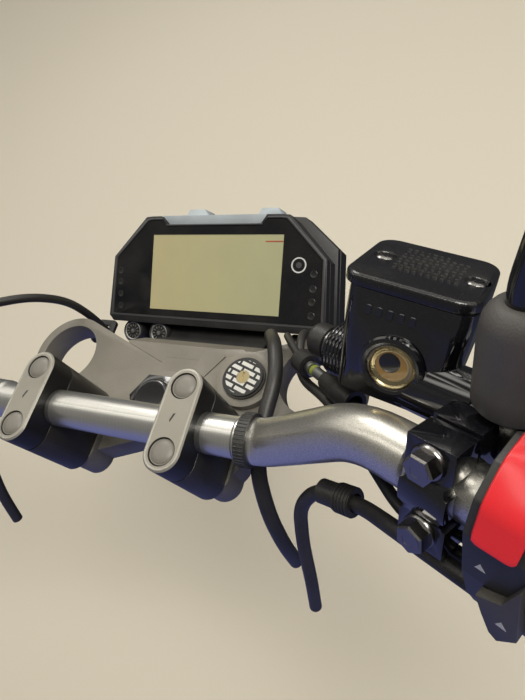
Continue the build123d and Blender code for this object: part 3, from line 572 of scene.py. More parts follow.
class Paints(Enum):
    """Every finish: name, colour, skin, roughness, metallic, coat, dust and tint."""

    TAUPE = Finish("taupe_paint", (0.190, 0.174, 0.142), Skin.CAST, 0.48, 0.15, 0.05, 0.12, 0.30)
    CAP = TopFinish("cap_paint", (0.30, 0.28, 0.235), Skin.SATIN, 0.38, 0.25, 0.0, 0.06, 0.15)
    HOLDER = Finish("holder_paint", (0.020, 0.018, 0.016), Skin.CAST, 0.42, 0.10, 0.10, 0.06)
    BAR = BarFinish("bar_silver", (0.70, 0.69, 0.64), Skin.LACQUER, 0.29, 0.90, 0.25, 0.02, 0.05)
    ZINC = Finish("bright_zinc", (0.50, 0.50, 0.48), Skin.SATIN, 0.32, 1.0, 0.0, 0.06)
    DARK_ZINC = Finish("dark_zinc", (0.30, 0.29, 0.28), Skin.SATIN, 0.22, 1.0, 0.0, 0.05)
    MACHINED = Finish("machined_edge", (0.46, 0.44, 0.39), Skin.SATIN, 0.30, 0.7, 0.0, 0.05)
    LOCK_FACE = StripedFinish("lock_stripes", (0.008, 0.008, 0.008), Skin.LACQUER, 0.30, 0.0, 0.2, 0.06, 0.1)
    BRASS = Finish("key_brass", (0.50, 0.42, 0.24), Skin.TURNED, 0.28, 1.0, 0.0, 0.05)
    BLACK_PLASTIC = Finish("black_plastic", (0.011, 0.011, 0.012), Skin.MOULDED, 0.44, 0.0, 0.0, 0.06, 0.15)
    HOUSING = Finish("housing_black", (0.027, 0.026, 0.024), Skin.MOULDED, 0.40, 0.0, 0.0, 0.04, 0.15)
    SOFT_BLACK = Finish("soft_black", (0.008, 0.008, 0.008), Skin.MOULDED, 0.58, 0.0, 0.0, 0.06, 0.15)
    PLUG = Finish("plug_rubber", (0.19, 0.175, 0.15), Skin.RUBBER, 0.42, 0.0, 0.0, 0.06, 0.15)
    PANEL = Finish("front_gloss", (0.005, 0.005, 0.006), Skin.LACQUER, 0.12, 0.0, 0.3, 0.03, 0.1)
    EDGE = Finish("bezel_edge", (0.12, 0.12, 0.125), Skin.SATIN, 0.34, 0.6, 0.0, 0.06)
    SCREEN = ScreenFinish("screen_glass", (0.41, 0.405, 0.235), Skin.LACQUER, 0.16, 0.0, 0.35, 0.03, 0.05)
    # The meter hood's pale blue-grey colour is a painted highlight on its top strip.
    STRIP = Finish("strip_blue_grey", (0.44, 0.49, 0.52), Skin.MOULDED, 0.32, 0.1, 0.2, 0.08)
    RED_LINE = Finish("red_line", (0.45, 0.06, 0.03), Skin.LACQUER, 0.40, 0.0, 0.0, 0.0)
    LAMP = Finish("lamp_lens", (0.012, 0.012, 0.011), Skin.LACQUER, 0.30, 0.0, 0.1, 0.03)
    WHITE_MARK = Finish("white_mark", (0.66, 0.66, 0.64), Skin.SATIN, 0.45, 0.0, 0.0, 0.05)
    RESERVOIR = Finish("control_gloss", (0.004, 0.004, 0.006), Skin.LACQUER, 0.10, 0.0, 1.0, 0.03, 0.1)
    LID = Finish("lid_satin", (0.008, 0.008, 0.009), Skin.CAST, 0.20, 0.0, 0.3, 0.05, 0.2)
    LID_MARKS = Finish("lid_marks", (0.030, 0.029, 0.028), Skin.SATIN, 0.38, 0.2, 0.0, 0.12, 0.2)
    FLUID = Finish("amber_fluid", (0.34, 0.20, 0.05), Skin.LACQUER, 0.08, 0.0, 0.8, 0.0, 0.5)
    LEVER = Finish("lever_alloy", (0.42, 0.42, 0.42), Skin.TURNED, 0.36, 0.95, 0.0, 0.06)
    RED = Finish("stop_red", (0.76, 0.022, 0.030), Skin.SATIN, 0.24, 0.0, 0.35, 0.02, 0.1)
    GREY_BUTTON = Finish("button_grey", (0.075, 0.069, 0.060), Skin.MOULDED, 0.42, 0.0, 0.0, 0.05)
    RUBBER = Finish("grip_rubber", (0.012, 0.012, 0.012), Skin.RUBBER, 0.58, 0.0, 0.0, 0.10, 0.2)
    BOOT = Finish("boot_rubber", (0.105, 0.097, 0.090), Skin.RUBBER, 0.52, 0.0, 0.0, 0.06, 0.25)
    HOSE = Finish("hose_rubber", (0.018, 0.0165, 0.015), Skin.RUBBER, 0.40, 0.0, 0.0, 0.08, 0.2)
    PAINT_MARK = Finish("paint_mark", (0.36, 0.42, 0.05), Skin.SATIN, 0.50, 0.0, 0.0, 0.05)
    GLOSS_BLACK = Finish("stem_gloss", (0.006, 0.006, 0.007), Skin.LACQUER, 0.16, 0.0, 0.7, 0.04, 0.1)
    MIRROR = Finish("mirror_silver", (0.86, 0.88, 0.89), Skin.LACQUER, 0.03, 1.0, 0.0, 0.02, 0.0)
    TIE = Finish("band_nylon", (0.016, 0.016, 0.016), Skin.MOULDED, 0.46, 0.0, 0.0, 0.15)

    def material(self) -> Material:
        """Returns: this finish's material."""
        return self.value.material()


# Meshes

@dataclass
class Shell:
    """Points and faces of one closed shape, in some space's millimetres."""

    points: list[Vector]
    faces: list[tuple[int, ...]]

    def moved(self, matrix: Matrix) -> "Shell":
        """Returns: a copy, moved by matrix."""
        return Shell([matrix @ point for point in self.points], list(self.faces))

    def plus(self, other: "Shell") -> "Shell":
        """Joins two shapes.

        Args:
            other: the second shape.

        Returns:
            Both as one.
        """
        start = len(self.points)
        shifted = [tuple(corner + start for corner in face) for face in other.faces]
        return Shell(self.points + other.points, self.faces + shifted)

    def mesh(self, name: str) -> Mesh:
        """A mesh of the shape.

        Args:
            name: the mesh's name.

        Returns:
            The new mesh.
        """
        mesh = bpy.data.meshes.new(name)
        mesh.from_pydata([tuple(point) for point in self.points], [], self.faces)
        return mesh


def lathe(profile: Sequence[Flat], segments: int = 48) -> Shell:
    """A turned shape.

    Args:
        profile: radius and height of each ring, from the bottom's middle to the top's middle.
        segments: faces round it.

    Returns:
        The shape, round the third axis.
    """
    points, rings, faces = [], [], []
    for radius, height in profile:
        if radius < MERGE_DISTANCE:
            rings.append([len(points)] * segments)
            points.append(Vector((0, 0, height)))
            continue
        rings.append([len(points) + step for step in range(segments)])
        for step in range(segments):
            turn = 2 * math.pi * step / segments
            points.append(Vector((radius * math.cos(turn), radius * math.sin(turn), height)))
    pairs = list(zip(rings, rings[1:]))
    if profile[0][0] > MERGE_DISTANCE:
        pairs.append((rings[-1], rings[0]))
    for low, high in pairs:
        for step in range(segments):
            nearby = (step + 1) % segments
            face = tuple(dict.fromkeys((low[step], low[nearby], high[nearby], high[step])))
            if len(face) > 2:
                faces.append(face)
    return Shell(points, faces)


def washer(inner: float, outer: float, low: float, high: float, segments: int) -> Shell:
    """Returns: a ring between two radii and two heights, or a disc where inner is 0."""
    return lathe([(inner, low), (outer, low), (outer, high), (inner, high)], segments)


def prism(outline: Sequence[Flat], low: float, high: float, draft: float = 1.0) -> Shell:
    """A plate from a flat outline.

    Args:
        outline: corners, across and up.
        low: its lower height.
        high: its upper height.
        draft: size of the upper face against the lower one.

    Returns:
        The plate.
    """
    count = len(outline)
    middle = [sum(corner[axis] for corner in outline) / count for axis in (0, 1)]
    points = [Vector((x, y, low)) for x, y in outline]
    for x, y in outline:
        points.append(Vector((middle[0] + (x - middle[0]) * draft, middle[1] + (y - middle[1]) * draft, high)))
    faces = [tuple(reversed(range(count))), tuple(range(count, 2 * count))]
    for step in range(count):
        nearby = (step + 1) % count
        faces.append((step, nearby, nearby + count, step + count))
    return Shell(points, faces)


def rounded(width: float, height: float, radius: float, at: Flat = (0.0, 0.0), steps: int = 2) -> list[Flat]:
    """A rectangle with round corners.

    Args:
        width: its size across.
        height: its size up.
        radius: its corners' radius.
        at: its middle.
        steps: faces in each corner.

    Returns:
        Its outline.
    """
    outline = []
    for corner, (x, y) in enumerate(((1, 1), (-1, 1), (-1, -1), (1, -1))):
        for step in range(steps + 1):
            turn = math.pi / 2 * (corner + step / steps)
            outline.append((
                at[0] + x * (width / 2 - radius) + radius * math.cos(turn),
                at[1] + y * (height / 2 - radius) + radius * math.sin(turn),
            ))
    return outline


def ring_band(inside: Sequence[Flat], outside: Sequence[Flat], low: float, high: float) -> Shell:
    """A flat ring between two outlines that have as many corners.

    Args:
        inside: the opening's corners.
        outside: the outer corners.
        low: its lower height.
        high: its upper height.

    Returns:
        The ring.
    """
    count = len(inside)
    points = [Vector((x, y, height)) for height in (low, high) for outline in (inside, outside) for x, y in outline]
    faces = []
    for a in range(count):
        b = (a + 1) % count
        faces += [
            (a + 2 * count, b + 2 * count, b + 3 * count, a + 3 * count),
            (a, a + count, b + count, b),
            (a, b, b + 2 * count, a + 2 * count),
            (a + count, a + 3 * count, b + 3 * count, b + count),
        ]
    return Shell(points, faces)


def placed_object(name: str, data: ID) -> Object:
    """A new object, linked to the scene.

    Args:
        name: its name.
        data: its mesh, camera or lamp.

    Returns:
        The object.
    """
    thing = bpy.data.objects.new(name, data)
    bpy.context.scene.collection.objects.link(thing)
    return thing


def applied(thing: Object) -> Mesh:
    """Returns: a plain mesh of the object with its modifiers applied."""
    return bpy.data.meshes.new_from_object(thing.evaluated_get(bpy.context.evaluated_depsgraph_get()))


@contextlib.contextmanager
def merged(mesh: Mesh) -> Iterator[bmesh.types.BMesh]:
    """Opens a mesh for edits, with its doubles merged, and writes it back.

    Args:
        mesh: the mesh.

    Returns:
        The mesh's editable form.
    """
    shape = bmesh.new()
    shape.from_mesh(mesh)
    bmesh.ops.remove_doubles(shape, verts=shape.verts, dist=MERGE_DISTANCE)
    yield shape
    shape.to_mesh(mesh)
    shape.free()


@dataclass
class Piece:
    """One object of the scene: its finish, the body that it rides on and how it is smoothed."""

    name: str
    finish: Paints
    body: str = COCKPIT
    replaces: tuple[str, ...] = ()
    bevel: float = 0.0
    angle: float = 40.0
    bevel_angle: float = 35.0

    def from_shell(self, shell: Shell, space: Space) -> Object:
        """Makes the piece from a shape in a space.

        Args:
            shell: the shape.
            space: where its sizes are.

        Returns:
            The object.
        """
        mesh = shell.moved(space.matrix()).mesh(self.name)
        with merged(mesh) as shape:
            bmesh.ops.recalc_face_normals(shape, faces=shape.faces)
        return self.finish_mesh(mesh)

    def finish_mesh(self, mesh: Mesh) -> Object:
        """Rounds, smooths and dresses a mesh that is in its place.

        Args:
            mesh: the mesh.

        Returns:
            The object.
        """
        piece = placed_object(self.name, mesh)
        if self.bevel:
            edge = piece.modifiers.new("edge", "BEVEL")
            edge.width = self.bevel / MM_PER_METRE
            edge.segments = 2
            edge.limit_method = "ANGLE"
            edge.angle_limit = math.radians(self.bevel_angle)
            plain = applied(piece)
            piece.modifiers.clear()
            piece.data = plain
        piece.data.materials.clear()
        piece.data.materials.append(self.finish.material())
        piece.data.shade_smooth()
        piece.data.set_sharp_from_angle(angle=math.radians(self.angle))
        if self.replaces:
            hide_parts(*self.replaces)
        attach(piece, self.body)
        LOG.info("%s: %d faces on %s", self.name, len(piece.data.polygons), self.body)
        return piece


# Repeats

class Repeater:
    """Puts one small shape at many spots, by a tree of geometry nodes."""

    def __init__(self) -> None:
        """Builds the tree: a shape, its spots, a random length and the material."""
        self.tree = bpy.data.node_groups.new("repeat_on_spots", "GeometryNodeTree")
        new_socket = self.tree.interface.new_socket
        kinds = {"Spots": "Geometry", "Shape": "Object", "Shortest": "Float", "Seed": "Int", "Material": "Material"}
        self.inputs = {
            label: new_socket(label, in_out="INPUT", socket_type=f"NodeSocket{kind}").identifier
            for label, kind in kinds.items()
        }
        new_socket("Pieces", in_out="OUTPUT", socket_type="NodeSocketGeometry")
        wiring = Wiring(self.tree)
        entry = wiring.add("NodeGroupInput").outputs
        leave = wiring.add("NodeGroupOutput").inputs
        spots = wiring.add("GeometryNodeMeshToPoints")
        shape = wiring.add("GeometryNodeObjectInfo")
        turn = wiring.add("GeometryNodeInputNamedAttribute", data_type="FLOAT_VECTOR")
        turn.inputs["Name"].default_value = "turn"
        facing = wiring.add("FunctionNodeEulerToRotation")
        length = wiring.add("FunctionNodeRandomValue", data_type="FLOAT")
        size = wiring.add("ShaderNodeCombineXYZ")
        size.inputs["Y"].default_value = size.inputs["Z"].default_value = 1.0
        put = wiring.add("GeometryNodeInstanceOnPoints")
        real = wiring.add("GeometryNodeRealizeInstances")
        paint = wiring.add("GeometryNodeSetMaterial")
        low, high = [one for one in live(length.inputs) if one.name in ("Min", "Max")]
        high.default_value = 1.0
        for source, target in (
            (entry["Shortest"], low),
            (entry["Seed"], length.inputs["Seed"]),
            (live(length.outputs)[0], size.inputs["X"]),
            (entry["Spots"], spots.inputs["Mesh"]),
            (entry["Shape"], shape.inputs["Object"]),
            (spots.outputs["Points"], put.inputs["Points"]),
            (shape.outputs["Geometry"], put.inputs["Instance"]),
            (live(turn.outputs)[0], facing.inputs["Euler"]),
            (facing.outputs["Rotation"], put.inputs["Rotation"]),
            (size.outputs[0], put.inputs["Scale"]),
            (put.outputs["Instances"], real.inputs["Geometry"]),
            (real.outputs["Geometry"], paint.inputs["Geometry"]),
            (entry["Material"], paint.inputs["Material"]),
            (paint.outputs["Geometry"], leave["Pieces"]),
        ):
            wiring.join(source, target)

    def make(
        self, piece: Piece, shape: Shell, spots: Sequence[Spot], space: Space, shortest: float = 1.0, seed: int = 3,
    ) -> Object:
        """One mesh of many like shapes.

        Args:
            piece: name, finish and body of the result.
            shape: the small shape, in millimetres.
            spots: place and turn (radians round X, Y and Z) of each.
            space: the space that the spots are in.
            shortest: the least random length, 1 for all alike.
            seed: the random lengths' seed.

        Returns:
            The object.
        """
        sample = placed_object("pattern_shape", shape.mesh("pattern_shape"))
        holder = placed_object("pattern_spots", Shell([Vector(place) for place, _ in spots], []).mesh("pattern_spots"))
        turns = holder.data.attributes.new("turn", "FLOAT_VECTOR", "POINT")
        for number, (_, turn) in enumerate(spots):
            turns.data[number].vector = turn
        modifier = holder.modifiers.new("repeat", "NODES")
        modifier.node_group = self.tree
        given = {"Shape": sample, "Shortest": shortest, "Seed": seed, "Material": piece.finish.material()}
        for label, value in given.items():
            modifier[self.inputs[label]] = value
        done = applied(holder)
        done.transform(space.matrix())
        if space.left:
            done.flip_normals()
        for thing in (holder, sample):
            bpy.data.objects.remove(thing)
        return piece.finish_mesh(done)


REPEAT = Repeater()


def unturned(places: Iterable[Point]) -> list[Spot]:
    """Returns: a spot at each place, without a turn."""
    return [(place, NO_TURN) for place in places]


def ring_of(count: int, radius: float, start: float = 0.0) -> list[Spot]:
    """Spots round the third axis, each turned to face out.

    Args:
        count: how many.
        radius: how far out.
        start: the first one's angle, in degrees.

    Returns:
        Place and turn of each spot.
    """
    spots = []
    for step in range(count):
        turn = math.radians(start) + 2 * math.pi * step / count
        spots.append(((radius * math.cos(turn), radius * math.sin(turn), 0.0), (0.0, 0.0, turn)))
    return spots


def cross_screw(radius: float, height: float) -> Shell:
    """A low cross-headed screw, as a dome with four raised quarters round its slots.

    Args:
        radius: the head's radius.
        height: the dome's height.

    Returns:
        The screw's head.
    """
    slot, foot = 0.45, -0.6
    head = lathe([
        (0, foot), (radius, foot), (radius, height * 0.35),
        (radius * 0.85, height * 0.8), (radius * 0.5, height), (0, height),
    ], 24)
    quarter = prism([(slot, slot), (radius * 0.62, slot), (slot, radius * 0.62)], height * 0.7, height + 0.25, 0.9)
    for turn in range(4):
        head = head.plus(quarter.moved(Matrix.Rotation(math.pi / 2 * turn, 4, "Z")))
    return head


def socket_screw(radius: float, height: float) -> Shell:
    """A round-headed screw with a sunk middle.

    Args:
        radius: the head's radius.
        height: its height.

    Returns:
        The screw's head.
    """
    return lathe([
        (0, 0), (radius, 0), (radius, height * 0.82), (radius * 0.9, height),
        (radius * 0.55, height), (radius * 0.5, height * 0.45), (0, height * 0.45),
    ], 36)


# Sub-assemblies

@dataclass
class Display:
    """The display: case edge, under cover with painted shade, lamps, plain ring, line on the screen and knob faces."""

    glass_corners: tuple[Flat, ...] = ((55.4, 41.9), (60.0, 41.3), (89.2, 11.6), (91.1, -35.5))
    glass_notch: tuple[Flat, ...] = ((-46.0, 41.9), (-42.3, 37.0), (40.8, 37.0), (44.0, 41.9))
    edge_corners: tuple[Flat, ...] = ((56.6, 42.9), (61.4, 42.2), (90.9, 12.0), (92.6, -36.6))
    edge_notch: tuple[Flat, ...] = ((-47.0, 42.9), (-42.8, 37.8), (41.3, 37.8), (45.1, 42.9))
    cover_start: float = -48.0
    cover_length: float = 94.0
    cover_upper: tuple[Flat, ...] = ((57.6, 2.4), (59.5, -3.0), (63.0, -7.5), (69.0, -11.2), (90.0, -13.6))
    cover_lower: tuple[Flat, ...] = ((90.0, -15.2), (68.6, -12.8), (62.0, -8.8), (58.0, -3.6), (56.0, 1.8))
    lamp_radius: float = 2.6
    lamps_left: tuple[Flat, ...] = ((-85.3, 0.4), (-84.7, -8.7), (-84.1, -18.7), (-83.4, -28.7))
    lamps_right: tuple[Flat, ...] = ((83.0, 1.7), (83.1, -8.9), (83.0, -18.1), (83.1, -28.0))
    sensor_at: Point = (71.3, 7.8, 0.0)
    line_at: Flat = (51.2, 24.8)
    knob_radius: float = 9.8
    knob_places: tuple[Point, ...] = ((-72.2, -49.2, 0.0), (-46.5, -49.2, 0.0))
    knob_marks: int = 12

    def edge(self) -> None:
        """The thin pale edge round the gloss front, with the notch on its top."""
        inside, outside = (
            [*half, *((-x, y) for x, y in reversed(half)), *notch]
            for half, notch in ((self.glass_corners, self.glass_notch), (self.edge_corners, self.edge_notch))
        )
        Piece("case_edge", Paints.EDGE, bevel=0.2).from_shell(ring_band(inside, outside, -0.8, 0.25), FACE)

    def under_cover(self) -> None:
        """A black sheet from the cowl's foot to the display's underside: partly the moulded cover, partly painted shade
        under the display.
        """
        space = TOP.within((self.cover_start, 0, 0), Y_AXIS, X_AXIS)
        sheet = prism(self.cover_upper + self.cover_lower, 0.0, self.cover_length)
        # Its deep black is partly painted shade under the display.
        Piece("under_cover", Paints.SOFT_BLACK, bevel=0.2).from_shell(sheet, space)

    def lamps(self) -> None:
        """Four small dark lamps on each side of the screen, and the sensor in its plain pale ring."""
        radius = self.lamp_radius
        lamp = lathe([
            (0, -0.4), (radius, -0.4), (radius, 0.0), (radius - 0.2, 0.08), (radius - 0.4, 0.0), (0, 0.04),
        ], 24)
        spots = unturned((x, y, -0.1) for x, y in self.lamps_left + self.lamps_right)
        REPEAT.make(Piece("warning_lamps", Paints.LAMP), lamp, spots, FACE)
        sensor = FACE.within(self.sensor_at)
        Piece("light_sensor_ring", Paints.WHITE_MARK).from_shell(washer(4.7, 5.7, -0.3, 0.12, 48), sensor)
        Piece("light_sensor", Paints.EDGE).from_shell(washer(0, 2.2, -0.3, 0.1, 32), sensor)

    def red_line(self) -> None:
        """The short red line at the screen's upper corner."""
        line = prism(rounded(14.0, 0.7, 0.25, self.line_at), -0.4, -0.15)
        Piece("screen_red_line", Paints.RED_LINE).from_shell(line, FACE)

    def knobs(self) -> None:
        """Faces of the two round knobs: a pale ring, short marks round it and a pale middle."""
        radius = self.knob_radius
        places = unturned(self.knob_places)
        body = lathe([
            (0, -12), (radius - 0.1, -12), (radius, -4.4), (radius - 0.9, -3.1), (radius - 1.6, -3.3),
            (radius - 1.9, -3.7), (2.8, -3.7), (2.4, -3.2), (0, -3.1),
        ], 40)
        REPEAT.make(Piece("knob_faces", Paints.BLACK_PLASTIC, replaces=("meter_knobs",)), body, places, FACE)
        band = lathe([
            (radius - 3.4, -3.8), (radius - 2.1, -3.8), (radius - 2.1, -3.3),
            (radius - 2.7, -3.1), (radius - 3.4, -3.4),
        ], 48)
        REPEAT.make(Piece("knob_rings", Paints.ZINC), band, places, FACE)
        mark = prism(rounded(1.9, 0.8, 0.2), -3.75, -3.3)
        spots = []
        for x, y, _ in self.knob_places:
            spots += [((x + at[0], y + at[1], 0.0), turn) for at, turn in ring_of(self.knob_marks, 4.8)]
        REPEAT.make(Piece("knob_marks", Paints.ZINC), mark, spots, FACE)
        middle = lathe([(0, -3.4), (1.7, -3.4), (1.7, -2.9), (0, -2.7)], 24)
        REPEAT.make(Piece("knob_middles", Paints.ZINC), middle, places, FACE)

    def build(self) -> None:
        """Makes all of the display's own pieces."""
        self.edge()
        self.under_cover()
        self.lamps()
        self.red_line()
        self.knobs()


@dataclass
class Clamps:
    """The bar clamps: the machined rim of each cap, its tick, the domed plugs and the strap's ridges."""

    spacing: float = 102.0
    plug_spacing: float = 36.0
    top: float = 85.0
    behind: float = 25.0
    length: float = 57.0
    width: float = 21.0
    rim_inside: float = 1.9
    rim_outside: float = 0.85
    rim_height: float = 0.06
    band_at: Flat = (87.7, 67.0)
    band_radius: float = 14.05
    band_low: float = -4.0

    def oval(self, inset: float) -> list[Flat]:
        """Returns: the cap's outline, drawn in by inset."""
        width = self.width - 2 * inset
        return rounded(width, self.length - 2 * inset, width / 2 - 0.01, steps=12)

    def rims(self) -> None:
        """The pale machined edge round each cap's top, and a dark tick on it."""
        for name, side in (("left", -1), ("right", 1)):
            space = TOP.within((side * self.spacing / 2, -self.behind, self.top))
            band = ring_band(self.oval(self.rim_inside), self.oval(self.rim_outside), -0.3, self.rim_height)
            Piece(f"cap_rim_{name}", Paints.MACHINED, bevel=0.05).from_shell(band, space)
            tick = prism([(-0.9, -2.6), (0.9, 2.6), (-0.4, 2.2), (-1.6, -1.4)], 0, self.rim_height)
            Piece(f"cap_mark_{name}", Paints.HOLDER).from_shell(tick, space)

    def plugs(self) -> None:
        """Four domed rubber plugs, each with a lip, and a black sleeve round each that is painted shade in its gap."""
        plug = lathe([
            (0, -5.0), (7.0, -5.0), (7.0, -1.1), (6.7, -0.6), (6.3, -0.7), (5.8, -0.2), (3.5, 0.4), (0, 0.6),
        ], 40)
        # Painted shade: a thin black sleeve in the gap round each plug.
        gap = lathe([(7.0, -4.9), (7.5, -4.9), (7.5, -0.5), (7.0, -1.2)], 40)
        spots = unturned(
            (x, y - self.behind, self.top)
            for x in (-self.spacing / 2, self.spacing / 2) for y in (-self.plug_spacing / 2, self.plug_spacing / 2)
        )
        REPEAT.make(Piece("plugs", Paints.PLUG, replaces=("clamp_plugs",)), plug, spots, TOP)
        REPEAT.make(Piece("plug_gaps", Paints.SOFT_BLACK), gap, spots, TOP)

    def band_ridges(self) -> None:
        """Fine ridges over the top of the strap on the bar."""
        across, height = self.band_at
        space = TOP.within((across, -self.behind, height), Y_AXIS, X_AXIS)
        spots = [(at, turn) for at, turn in ring_of(44, self.band_radius) if at[1] > self.band_low]
        REPEAT.make(Piece("band_ridges", Paints.TIE), washer(0, 0.35, -2.7, 2.7, 8), spots, space)

    def build(self) -> None:
        """Makes the clamps' own pieces."""
        self.rims()
        self.plugs()
        self.band_ridges()


@dataclass
class Reservoir:
    """The brake reservoir: the lid's pattern and screws, the level marks and the sight glass."""

    width: float = 50.0
    sight_up: float = -34.0
    rows: int = 8
    dashes: int = 10
    first_dashes: int = 7
    dash_step: float = 2.75
    row_step: float = 3.5
    pattern_corner: Flat = (-12.5, 15.5)
    level_start: float = -14.0
    level_step: float = 4.4
    screw_spots: tuple[Spot, ...] = (((-19.0, 1.5, -1.15), (0.0, 0.0, 0.5)), ((19.0, -1.5, -1.15), (0.0, 0.0, 0.2)))

    def front(self, height: float) -> Space:
        """Returns: the space on the reservoir's face, at a height from the lid."""
        return LID.within((0, -self.width / 2, height), X_AXIS, (0, -1, 0))

    def pattern(self) -> None:
        """Rows of short raised dashes in a block on the lid, with no lettering, and level marks on the face."""
        left, top = self.pattern_corner
        dash = prism(rounded(2.2, 1.0, 0.35), -0.05, 0.3, 0.8)
        spots = unturned(
            (left + place * self.dash_step + (row % 2) * 0.5, top - row * self.row_step, 0.0)
            for row in range(self.rows) for place in range(self.dashes if row else self.first_dashes)
        )
        REPEAT.make(Piece("lid_dashes", Paints.LID_MARKS), dash, spots, LID, 0.5, 7)
        bar = prism(rounded(2.6, 4.2, 0.8, steps=3), -0.1, 0.35, 0.9)
        marks = unturned((self.level_start + step * self.level_step, -13.0, 0.0) for step in range(5))
        REPEAT.make(Piece("level_dashes", Paints.RESERVOIR), bar, marks, self.front(0))

    def screws(self) -> None:
        """Two cross-headed screws sunk in the lid."""
        REPEAT.make(Piece("lid_screws", Paints.DARK_ZINC), cross_screw(3.9, 1.4), self.screw_spots, LID)

    def sight(self) -> None:
        """Gloss rim, brass ring and an off-centre dark disc, which is painted shade in the sight glass's hole."""
        spot = self.front(self.sight_up)
        rim = lathe([(10.2, 0.6), (13.2, 0.6), (13.6, 1.4), (13.1, 2.8), (11.6, 3.3), (10.4, 2.8), (10.2, 2.2)], 56)
        Piece("sight_rim", Paints.RESERVOIR).from_shell(rim, spot)
        ring = lathe([
            (6.6, 0.2), (9.9, 0.2), (9.9, 2.2), (9.2, 2.5), (8.6, 2.1), (8.3, 1.5), (7.6, 1.3), (7.2, 0.95), (6.6, 0.9),
        ], 56)
        Piece("sight_brass", Paints.BRASS, replaces=("sight_ring",)).from_shell(ring, spot)
        # Painted shade: a dark disc, set off the middle, for the shade inside the sight glass's hole.
        eye = lathe([(0, 0.15), (4.4, 0.15), (4.4, 0.9), (3.6, 1.05), (0, 1.1)], 40)
        Piece("sight_eye", Paints.GLOSS_BLACK).from_shell(eye, spot.within((-1.0, 1.4, 0)))

    def build(self) -> None:
        """Makes the reservoir's own pieces."""
        self.pattern()
        self.screws()
        self.sight()


@dataclass
class Fasteners:
    """Flange bolts of the control clamps and pinch bolts of the fork clamps."""

    turn: float = 12.0
    offset: float = 14.8
    face: float = -14.0
    along: float = 40.0
    bolt_radius: float = 5.75
    lug: Point = (117.0, -3.0, 10.0)

    def flange_bolt(self) -> Shell:
        """A hexagon head on a round flange, its corners turned down.

        Returns:
            The bolt's head.
        """
        turns = [math.radians(60 * step) for step in range(6)]
        corners = [(self.bolt_radius * math.cos(turn), self.bolt_radius * math.sin(turn)) for turn in turns]
        flange = lathe([(0, 0), (6.5, 0), (6.5, 0.7), (5.9, 1.5), (0, 1.5)], 36)
        head = prism(corners, 1.4, 6.2).plus(prism(corners, 6.2, 6.85, 0.88))
        return flange.plus(head).plus(washer(2.3, 4.3, 6.7, 6.95, 30))

    def clamp_bolts(self) -> None:
        """The two bolts of each control's clamp."""
        turn = math.radians(self.turn)
        across, up = Vector((math.cos(turn), -math.sin(turn), 0)), Vector((math.sin(turn), math.cos(turn), 0))
        spots = [((end * self.offset, 0.0, 0.0), (0.0, 0.0, 0.3 + end * 0.2)) for end in (-1, 1)]
        for side, space in GRIPS:
            at = across * self.face + Vector((0, 0, self.along))
            face = space.within(tuple(at), tuple(up), tuple(-across))
            replaced = ("clamp_bolts",) if side == "right" else ()
            heads = Piece(f"clamp_bolt_heads_{side}", Paints.DARK_ZINC, replaces=replaced)
            REPEAT.make(heads, self.flange_bolt(), spots, space=face)

    def pinch_bolts(self) -> None:
        """A socket-headed bolt on each fork clamp's lug."""
        x, y, z = self.lug
        for name, side in (("right", 1), ("left", -1)):
            spot = TOP.within((side * x, y, z), Y_AXIS, (side, 0, 0))
            Piece(f"pinch_bolt_{name}", Paints.DARK_ZINC, angle=30).from_shell(socket_screw(4.6, 4.5), spot)

    def build(self) -> None:
        """Makes all of the fasteners."""
        self.clamp_bolts()
        self.pinch_bolts()


@dataclass
class CableEnds:
    """What shows at the cables' ends: threads, ribs and the adjuster's paint mark."""

    rod: tuple[Point, Point] = ((144.0, -4.0, 76.5), (96.5, 33.0, 47.0))
    plug: tuple[Point, Point] = ((150.0, -47.0, 73.0), (127.0, -42.0, 64.2))
    union_at: Point = (31.0, 7.0, -38.0)
    mark_share: float = 0.71
    threads: int = 4
    thread_pitch: float = 1.45
    hoops: int = 5
    hoop_pitch: float = 2.1

    @staticmethod
    def on_run(run: tuple[Point, Point], share: float) -> Space:
        """A space on a straight run.

        Args:
            run: the run's two ends.
            share: how far along it the space lies.

        Returns:
            The space, its third axis along the run.
        """
        start, end = Vector(run[0]), Vector(run[1])
        line = end - start
        return Space(tuple(start + line * share), (0.0, 0.3, 1.0), tuple(line.normalized()))

    def build(self) -> None:
        """Makes the small pieces on the cables."""
        socket = GRIP.within(self.union_at, X_AXIS, (0, 0, -1))
        ring = lathe([(7.0, -0.6), (7.35, -0.6), (7.65, 0), (7.35, 0.6), (7.0, 0.6)], 40)
        threads = unturned((0.0, 0.0, 0.9 + self.thread_pitch * step) for step in range(self.threads))
        REPEAT.make(Piece("union_threads", Paints.DARK_ZINC), ring, threads, socket)
        hoop = lathe([(12.8, -0.6), (13.1, -0.6), (13.5, -0.2), (13.5, 0.2), (13.1, 0.6), (12.8, 0.6)], 48)
        hoops = unturned((0.0, 0.0, -1.6 - self.hoop_pitch * step) for step in range(self.hoops))
        REPEAT.make(Piece("barrel_ribs", Paints.RESERVOIR), hoop, hoops, socket)
        mark = washer(3.22, 3.3, -1.6, 1.6, 32)
        Piece("adjuster_mark", Paints.PAINT_MARK).from_shell(mark, self.on_run(self.rod, self.mark_share))
        rib = lathe([(6.6, -0.5), (7.0, -0.4), (7.0, 0.4), (6.6, 0.5)], 32)
        length = (Vector(self.plug[1]) - Vector(self.plug[0])).length
        ribs = unturned((0.0, 0.0, length * (0.16 + 0.07 * step)) for step in range(5))
        foot = self.on_run(self.plug, 0.0)
        for side, space in (("right", foot), ("left", foot.on_left())):
            REPEAT.make(Piece(f"plug_ribs_{side}", Paints.HOSE), rib, ribs, space)


